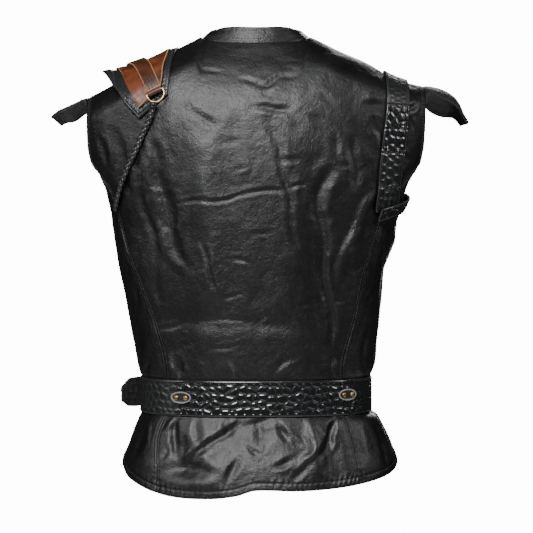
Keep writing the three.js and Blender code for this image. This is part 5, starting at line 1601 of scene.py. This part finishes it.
def harness_strip(face):
    inner, outer = curve(HARNESS[face], 0, 1), curve(HARNESS[face], 0, 2)
    share = np.linspace(0, 1, HARNESS_ROWS + 1)[:, None]
    across = np.linspace(0, 1, HARNESS_COLUMNS + 1)[None, :]
    x = np.full((HARNESS_ROWS + 1, HARNESS_COLUMNS + 1), -float(HARNESS_MIDDLE))
    for _ in range(TURNS):
        climb = climb_of(x, HARNESS_END[face]) * (1 - share) + crest(x) * share
        z = roll(x, climb)[0]
        x = -(inner(z) * (1 - across) + outer(z) * across)
    return form(angle_at(x, climb, face), climb)


def embossed_strap(name, points, normals, node, seed, border, seams=(), dull=None):
    """A strap with its relief, edges and stitches. Its rows run along it."""
    away = distances(points)
    width = float((away["start"] + away["end"]).mean())
    relief, groove = embossed_relief(away["low"], away["start"], width, border, seed)
    for z in seams:
        apart = np.where(normals[..., 1] > -0.2, points[..., 2] - z, 99.0)
        relief = relief - 0.9 * bell(apart, 0.9) + 0.5 * bell(apart - 2.6, 1.6)
    relief = relief + 0.35 * rumple(points, 22, seed + 1)
    face = points + normals * relief[..., None]
    facing = grid_normals(face, normals)
    strap = leather_shell(name, face, facing, STRAP_WALL - 0.4, [scale_leather, strap_under, strap_edge])
    note(strap, "relief", relief)
    note(strap, "groove", groove)
    note(strap, "dull", np.zeros(relief.shape) if dull is None else dull)
    rows = [inside_line(face, facing, edge, 2.1, (4, 4)) for edge in ("start", "end")]
    stitches = stitching(f"{node}_stitching", rows, black_thread, 2.8, 3.9, 0.36)
    for piece in (strap, stitches):
        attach(piece, "root")
    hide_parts(node)
    "stretched" if "belt" in node else "laid"


(back_strip, back_facings), (front_strip, front_facings) = (harness_strip(face) for face in (BACK, FRONT))
points = np.concatenate([back_strip, front_strip[-2::-1]])
normals = np.concatenate([back_facings, front_facings[-2::-1]])
points = points + normals * (HARNESS_LIFT + STRAP_WALL)
dull = smoothstep(points[..., 2], -116, -104) + 0.5 * smoothstep(-points[..., 2], 172, 182)
embossed_strap(
    "harness_strap_right_leather", points, normals, "harness_strap_right",
    101, 3.6, HARNESS_SEAMS, dull,
)

angles = np.linspace(UNDERARM_STRAP[0][0], UNDERARM_STRAP[-1][0], UNDERARM_COLUMNS)
middle_of, nearer = (curve(UNDERARM_STRAP[::-1], 0, column) for column in (1, 2))
offs = np.linspace(-UNDERARM_HALF, UNDERARM_HALF, UNDERARM_ROWS)
points, normals = form(np.radians(angles)[:, None], middle_of(angles)[:, None] + offs[None, :])
points = points + normals * (UNDERARM_LIFT + STRAP_WALL - nearer(angles))[:, None, None]
embossed_strap(
    "underarm_strap_right_leather", points, normals, "underarm_strap_right",
    111, 2.6,
)

# ---- Belt
# It is 50 mm wide, of the same embossed leather, in three lengths that are joined under the
# rivet patches. The right length narrows to a billet that passes the buckle and the keeper.
BELT_MIDDLE, BILLET_HALF = (BELT_TOP + BELT_BOTTOM) / 2, 20
BELT_LIFT, BELT_WALL = 0.9, 3
BELT_OUTER = BELT_LIFT + BELT_WALL
BILLET_LIFT = BELT_OUTER + 0.4
LEFT_JOINT, RIGHT_JOINT = 104, -131.7
LEFT_END, TAPER_X = 37, -70
BELT_STEP = 1.25  # the length of a mesh cell along the belt
BELT_ROWS = 44
BILLET_CLIMB = [
    (-34, BELT_LIFT), (7, BELT_LIFT), (15, 2.8), (27, 6.2), (36, 9), (46, 9.4), (58, 6), (70, BILLET_LIFT),
]
BILLET_LEAVES = math.radians(119)
TIP = [(12, -545, -505), (34, -546, -504), (56, -548, -504), (70, -547, -507), (82, -539, -518)]


def belt_cell(angle):
    """Points of the belt's line round the body at height 0, and their level normals."""
    radius = ring_radius(angle, BELT_TOP)
    x, y = radius * np.sin(angle), radius * np.cos(angle)
    half, deep = half_width(x, BELT_TOP), depth_of(y, BELT_TOP)
    normal = np.stack([
        np.sign(x) * (np.abs(x) / half) ** (ROUNDNESS - 1) / half,
        np.sign(y) * (np.abs(y) / deep) ** (ROUNDNESS - 1) / deep,
        x * 0,
    ], -1)
    return np.stack([x, y, x * 0], -1), unit(normal)


def belt_angle(x, face):
    return float(angle_at(np.array(float(x)), np.array(float(BELT_TOP)), face))


def belt_strip(stations):
    """A strip along stations of line, normal, lift, low and high edge, with a cell every step."""
    line = np.array([np.concatenate([s[0], s[1], s[2:]]) for s in stations])
    run = np.concatenate([[0], np.cumsum(np.linalg.norm(np.diff(line[:, :2], axis=0), axis=-1))])
    at = np.linspace(0, run[-1], int(run[-1] / BELT_STEP) + 1)
    line = read_at(at, run, line)
    up = np.linspace(0, 1, BELT_ROWS + 1)
    normals = unit(line[:, 3:6])[:, None] + np.zeros((1, BELT_ROWS + 1, 1))
    points = (line[:, :3] + unit(line[:, 3:6]) * (line[:, 6:7] + BELT_WALL))[:, None] + normals * 0
    points[..., 2] = line[:, 7:8] * (1 - up) + line[:, 8:9] * up
    return points, normals


def belt_stations(angles, lifts, lows, highs):
    """Close stations between the given ones."""
    shares = np.linspace(0, 1, len(angles))
    fine = np.linspace(0, 1, 12 * (len(angles) - 1) + 1)
    values = [np.interp(fine, shares, column) for column in (angles, lifts, lows, highs)]
    points, normals = belt_cell(values[0])
    return [(p, n, *rest) for p, n, *rest in zip(points, normals, *values[1:])]


def unwound(angle):
    return angle - 2 * math.pi if angle > 0 else angle


belt_gap = SEAM_GAP / 2 / MEAN_RADIUS
left_joint, right_joint = belt_angle(LEFT_JOINT, BACK), belt_angle(RIGHT_JOINT, BACK)
full = (BELT_BOTTOM, BELT_TOP)
narrow = (BELT_MIDDLE - BILLET_HALF, BELT_MIDDLE + BILLET_HALF)
back_angles = np.linspace(right_joint + belt_gap, left_joint - belt_gap, 15)
left_angles = np.linspace(left_joint + belt_gap, belt_angle(LEFT_END, FRONT), 17)
right_angles = np.linspace(right_joint - belt_gap, unwound(belt_angle(TAPER_X, FRONT)), 15)
climb_angles = [unwound(belt_angle(x, FRONT)) for x, _ in BILLET_CLIMB]
billet_angles = np.linspace(climb_angles[-1], BILLET_LEAVES - 2 * math.pi, 7)[1:]
right_stations = belt_stations(
    [*right_angles, *climb_angles, *billet_angles],
    [BELT_LIFT] * 15 + [lift for _, lift in BILLET_CLIMB] + [BILLET_LIFT] * 6,
    [full[0]] * 15 + [narrow[0]] * 14,
    [full[1]] * 15 + [narrow[1]] * 14,
)
leave_point, leave_normal = (grid.reshape(3) for grid in belt_cell(np.array(BILLET_LEAVES)))
away_along = -np.cross(leave_normal, [0, 0, 1])
tip = [(0, *narrow), *TIP]
for run_on in np.linspace(0, TIP[-1][0], 60)[1:]:
    low, high = (np.interp(run_on, [row[0] for row in tip], [row[k] for row in tip]) for k in (1, 2))
    right_stations.append((leave_point + away_along * run_on, leave_normal, BILLET_LIFT, low, high))
belt_lengths = {
    "belt_back": belt_stations(back_angles, [BELT_LIFT] * 15, [full[0]] * 15, [full[1]] * 15),
    "belt_left": belt_stations(left_angles, [BELT_LIFT] * 17, [full[0]] * 17, [full[1]] * 17),
    "belt_right": right_stations,
}
for seed, (name, stations) in enumerate(belt_lengths.items()):
    points, normals = belt_strip(stations)
    dull = smoothstep(points[..., 0], 104, 120) * (points[..., 1] > -40) * 0.9
    if name == "belt_right":
        dull = np.maximum(dull, smoothstep(distances(points)["high"], 120, 40))
    embossed_strap(
        f"{name}_leather", points, normals, name, 121 + 10 * seed, 4.2, (), dull,
    )

# ---- Buckle and keeper
# A plain rectangular buckle of antique brass closes the belt at the front. Its prong goes
# through the billet, and a leather keeper holds the billet's end down.
BUCKLE = {"x": 22, "width": 44, "height": 64, "bar": 6, "wall": 4, "lift": BELT_OUTER + 0.3}
PRONG = {"length": 26, "width": 5, "wall": 3, "past": 3}
KEEPER = {"x": 84, "width": 12, "wall": 1.6, "gap": 0.5, "foot": 2.8}


def place_on_belt(angle, z, lift):
    """The frame of a place on the belt's line: along it, up and outwards. In metres."""
    point, normal = (grid.reshape(3) for grid in belt_cell(np.array(angle)))
    level = np.cross([0, 0, 1], normal)
    point = point + normal * lift
    point[2] = z
    axes = Matrix(np.stack([level, [0, 0, 1], normal], -1).tolist())
    return Matrix.Translation(Vector(point / 1000)) @ axes.to_4x4()


old_brass = metal("old_brass", (0.16, 0.095, 0.04), (0.5, 0.34, 0.15), 0.26)

start_piece()
bpy.ops.mesh.primitive_plane_add(size=0.001)
buckle = bpy.context.object
buckle.name = "belt_buckle_frame_brass"
buckle.scale = (BUCKLE["width"], BUCKLE["height"], 1)
bpy.ops.object.transform_apply(location=False, rotation=False, scale=True)
edit_all()
bpy.ops.mesh.inset(thickness=BUCKLE["bar"] / 1000)
bpy.ops.mesh.delete(type="FACE")
end_edit()
apply_modifier(buckle, "SOLIDIFY", thickness=BUCKLE["wall"] / 1000, offset=1)
apply_modifier(buckle, "BEVEL", width=0.0014, segments=4, limit_method="ANGLE")
buckle_angle = belt_angle(BUCKLE["x"], FRONT)
seat(buckle, place_on_belt(buckle_angle, BELT_MIDDLE, BUCKLE["lift"]), old_brass, "brass")
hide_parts("belt_buckle_frame")

start_piece()
bpy.ops.mesh.primitive_cube_add(
    size=0.001,
    location=((PRONG["length"] / 2 - BUCKLE["width"] / 2 - PRONG["past"]) / 1000, 0, PRONG["wall"] / 2000),
)
prong = bpy.context.object
prong.name = "belt_buckle_prong_brass"
prong.scale = (PRONG["length"], PRONG["width"], PRONG["wall"])
bpy.ops.object.transform_apply(location=True, rotation=False, scale=True)
edit_all()
bpy.ops.mesh.subdivide(number_cuts=5)
end_edit()
prong_tip = max(v.co.x for v in prong.data.vertices)
for vertex in prong.data.vertices:
    slim = min(max((prong_tip - vertex.co.x) / 0.010, 0), 1)
    vertex.co.y *= 0.55 + 0.45 * slim
    vertex.co.z *= 0.75 + 0.25 * slim
apply_modifier(prong, "BEVEL", width=0.0011, segments=3, limit_method="ANGLE")
prong_lift = BUCKLE["lift"] + BUCKLE["wall"] + SEAM_GAP
seat(prong, place_on_belt(buckle_angle, BELT_MIDDLE, prong_lift), old_brass, "brass")
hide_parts("belt_buckle_prong")

keeper_top = BILLET_LIFT + BELT_WALL + KEEPER["gap"] + KEEPER["wall"]
keeper_height = BELT_TOP - BELT_BOTTOM + 2 * (KEEPER["gap"] + KEEPER["wall"])
start_piece()
bpy.ops.mesh.primitive_cube_add(size=0.001, location=(0, 0, (keeper_top + KEEPER["foot"]) / 2000))
keeper = bpy.context.object
keeper.name = "belt_keeper_leather"
keeper.scale = (KEEPER["width"], keeper_height, keeper_top - KEEPER["foot"])
bpy.ops.object.transform_apply(location=True, rotation=False, scale=True)
edit_all()
bpy.ops.mesh.select_all(action="DESELECT")
bpy.ops.mesh.select_mode(type="FACE")
end_edit()
for face in keeper.data.polygons:
    face.select = abs(face.normal.x) > 0.5 or face.normal.z < -0.5
bpy.ops.object.mode_set(mode="EDIT")
bpy.ops.mesh.delete(type="FACE")
bpy.ops.mesh.select_mode(type="VERT")
end_edit()
apply_modifier(keeper, "SOLIDIFY", thickness=KEEPER["wall"] / 1000, offset=-1)
apply_modifier(keeper, "BEVEL", width=0.0005, segments=3, limit_method="ANGLE")
seat(keeper, place_on_belt(belt_angle(KEEPER["x"], FRONT), BELT_MIDDLE, 0), strap_edge, "embossed_leather")
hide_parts("belt_keeper")

# ---- Rivet patches
# Two oval patches cover the belt's joints. Each has a pale worn rim and two domed rivets of
# antique brass.
PATCH = {"half_length": 14, "half_height": 8.5, "wall": 1.4, "rim": 1.9}
PATCHES = {"left": (LEFT_JOINT, -523), "right": (-129, -520)}
RIVET = {"radius": 3.8, "height": 2, "off": 7.3}

patch_leather = black_leather("patch_leather", (0.009, 0.009, 0.0095), (0.024, 0.024, 0.026), 0.06)
patch_rim = raw_edge("patch_rim", (0.10, 0.10, 0.10), (0.28, 0.28, 0.275))

start_piece()
bpy.ops.mesh.primitive_circle_add(vertices=56, radius=1, fill_type="NGON")
oval = bpy.context.object
oval.scale = (PATCH["half_length"], PATCH["half_height"], 1)
bpy.ops.object.transform_apply(location=False, rotation=False, scale=True)
edit_all()
bpy.ops.mesh.extrude_region_move(TRANSFORM_OT_translate={"value": (0, 0, PATCH["wall"])})
bpy.ops.mesh.inset(thickness=1.5)
bpy.ops.mesh.inset(thickness=0.5, depth=-0.55)
bpy.ops.mesh.inset(thickness=2.4)
bpy.ops.mesh.inset(thickness=2.4)
end_edit()
right_side_out(oval)
inside_x, inside_y = PATCH["half_length"] - PATCH["rim"], PATCH["half_height"] - PATCH["rim"]
rim_faces = {
    face.index
    for face in oval.data.polygons
    if len(face.vertices) == 4 and (face.center.x / inside_x) ** 2 + (face.center.y / inside_y) ** 2 > 1
}
for side, (x, z) in PATCHES.items():
    plate = oval.copy()
    plate.data = oval.data.copy()
    plate.name = f"rivet_patch_{side}_leather"
    bpy.context.scene.collection.objects.link(plate)
    angle = belt_angle(x, BACK)
    round_by = np.array([v.co.x for v in plate.data.vertices]) / float(ring_radius(np.array(angle), BELT_TOP))
    line, outwards = belt_cell(angle - round_by)
    for vertex, point, out in zip(plate.data.vertices, line, outwards):
        point = point + out * (BELT_OUTER + SEAM_GAP + vertex.co.z)
        vertex.co = (point[0] / 1000, point[1] / 1000, (z + vertex.co.y) / 1000)
    plate.data.materials.append(patch_leather)
    plate.data.materials.append(patch_rim)
    for face in plate.data.polygons:
        face.material_index = int(face.index in rim_faces)
    plate.data.shade_smooth()
    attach(plate, "root")
    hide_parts(f"rivet_patch_{side}")

start_piece()
bpy.ops.mesh.primitive_uv_sphere_add(segments=36, ring_count=20, radius=RIVET["radius"] / 1000)
dome = bpy.context.object
edit_all()
bpy.ops.mesh.bisect(plane_co=(0, 0, 0), plane_no=(0, 0, -1), clear_outer=True, use_fill=True)
end_edit()
dome.scale = (1, 1, RIVET["height"] / RIVET["radius"])
bpy.ops.object.transform_apply(location=False, rotation=False, scale=True)
apply_modifier(dome, "BEVEL", width=0.00025, segments=2, limit_method="ANGLE", angle_limit=math.radians(40))
for side, (x, z) in PATCHES.items():
    for way, which in ((-1, "inner"), (1, "outer")):
        rivet = dome.copy()
        rivet.data = dome.data.copy()
        rivet.name = f"rivet_{side}_{which}_brass"
        bpy.context.scene.collection.objects.link(rivet)
        there = place_on_belt(belt_angle(x, BACK), z, BELT_OUTER + SEAM_GAP + PATCH["wall"] + SEAM_GAP)
        seat(rivet, there @ Matrix.Translation((way * RIVET["off"] / 1000, 0, 0)), old_brass, "brass")
        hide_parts(f"rivet_{side}_{which}")
for pattern in (oval, dome):
    bpy.data.objects.remove(pattern)

# ---- Lights and floor
# Soft studio lamps: a tall one behind the camera, weaker ones above, at the sides and before
# the vest, and a pale floor.
LAMPS = [  # name, place, width, height, watts
    ("key_lamp", (0.5, 2.5, 1.28), 1.2, 1.4, 118),
    ("top_lamp", (0.1, 0.7, 1.5), 1.4, 0.8, 5),
    ("left_lamp", (2.0, 1.1, 0.5), 0.5, 1.1, 16),
    ("right_lamp", (-1.95, 0.85, 0.65), 0.5, 1.0, 16),
    ("front_lamp", (-0.4, -2.3, 0.3), 1.2, 1.8, 44),
]
MIDDLE = Vector((0, 0, -0.33))
FLOOR_AT, FLOOR_RADIUS = -1.4, 1.8

for lamp_name, at, width, height, watts in LAMPS:
    lamp = bpy.data.lights.new(lamp_name, "AREA")
    lamp.shape, lamp.size, lamp.size_y, lamp.energy = "RECTANGLE", width, height, watts
    holder = bpy.data.objects.new(lamp_name, lamp)
    bpy.context.scene.collection.objects.link(holder)
    holder.location = at
    holder.rotation_euler = (MIDDLE - Vector(at)).to_track_quat("-Z", "Y").to_euler()

SKY_ON_LEATHER = (0.022, 0.0225, 0.024)  # what the sky gives the vest
SKY_SEEN = (14.0, 14.0, 14.0)  # and how bright it is behind it
world = bpy.data.worlds.new("studio")
bpy.context.scene.world = world
world.use_nodes = True
sky = Dye(world.node_tree)
seen = sky.node("ShaderNodeLightPath", {}, {})
lit = seen.tint(SKY_ON_LEATHER, SKY_SEEN)
world.node_tree.links.new(lit.socket, world.node_tree.nodes["Background"].inputs["Color"])

bpy.ops.mesh.primitive_circle_add(
    vertices=96, radius=FLOOR_RADIUS, fill_type="NGON", location=(0, 0, FLOOR_AT),
)
floor = bpy.context.object
floor.name = "floor"
floor_place, floor_shader = finish("floor_paint")
floor_tint = floor_place.noise(floor_place, 3).tint((0.78, 0.78, 0.77), (0.84, 0.84, 0.83))
floor.data.materials.append(floor_shader(Base_Color=floor_tint, Roughness=0.8))
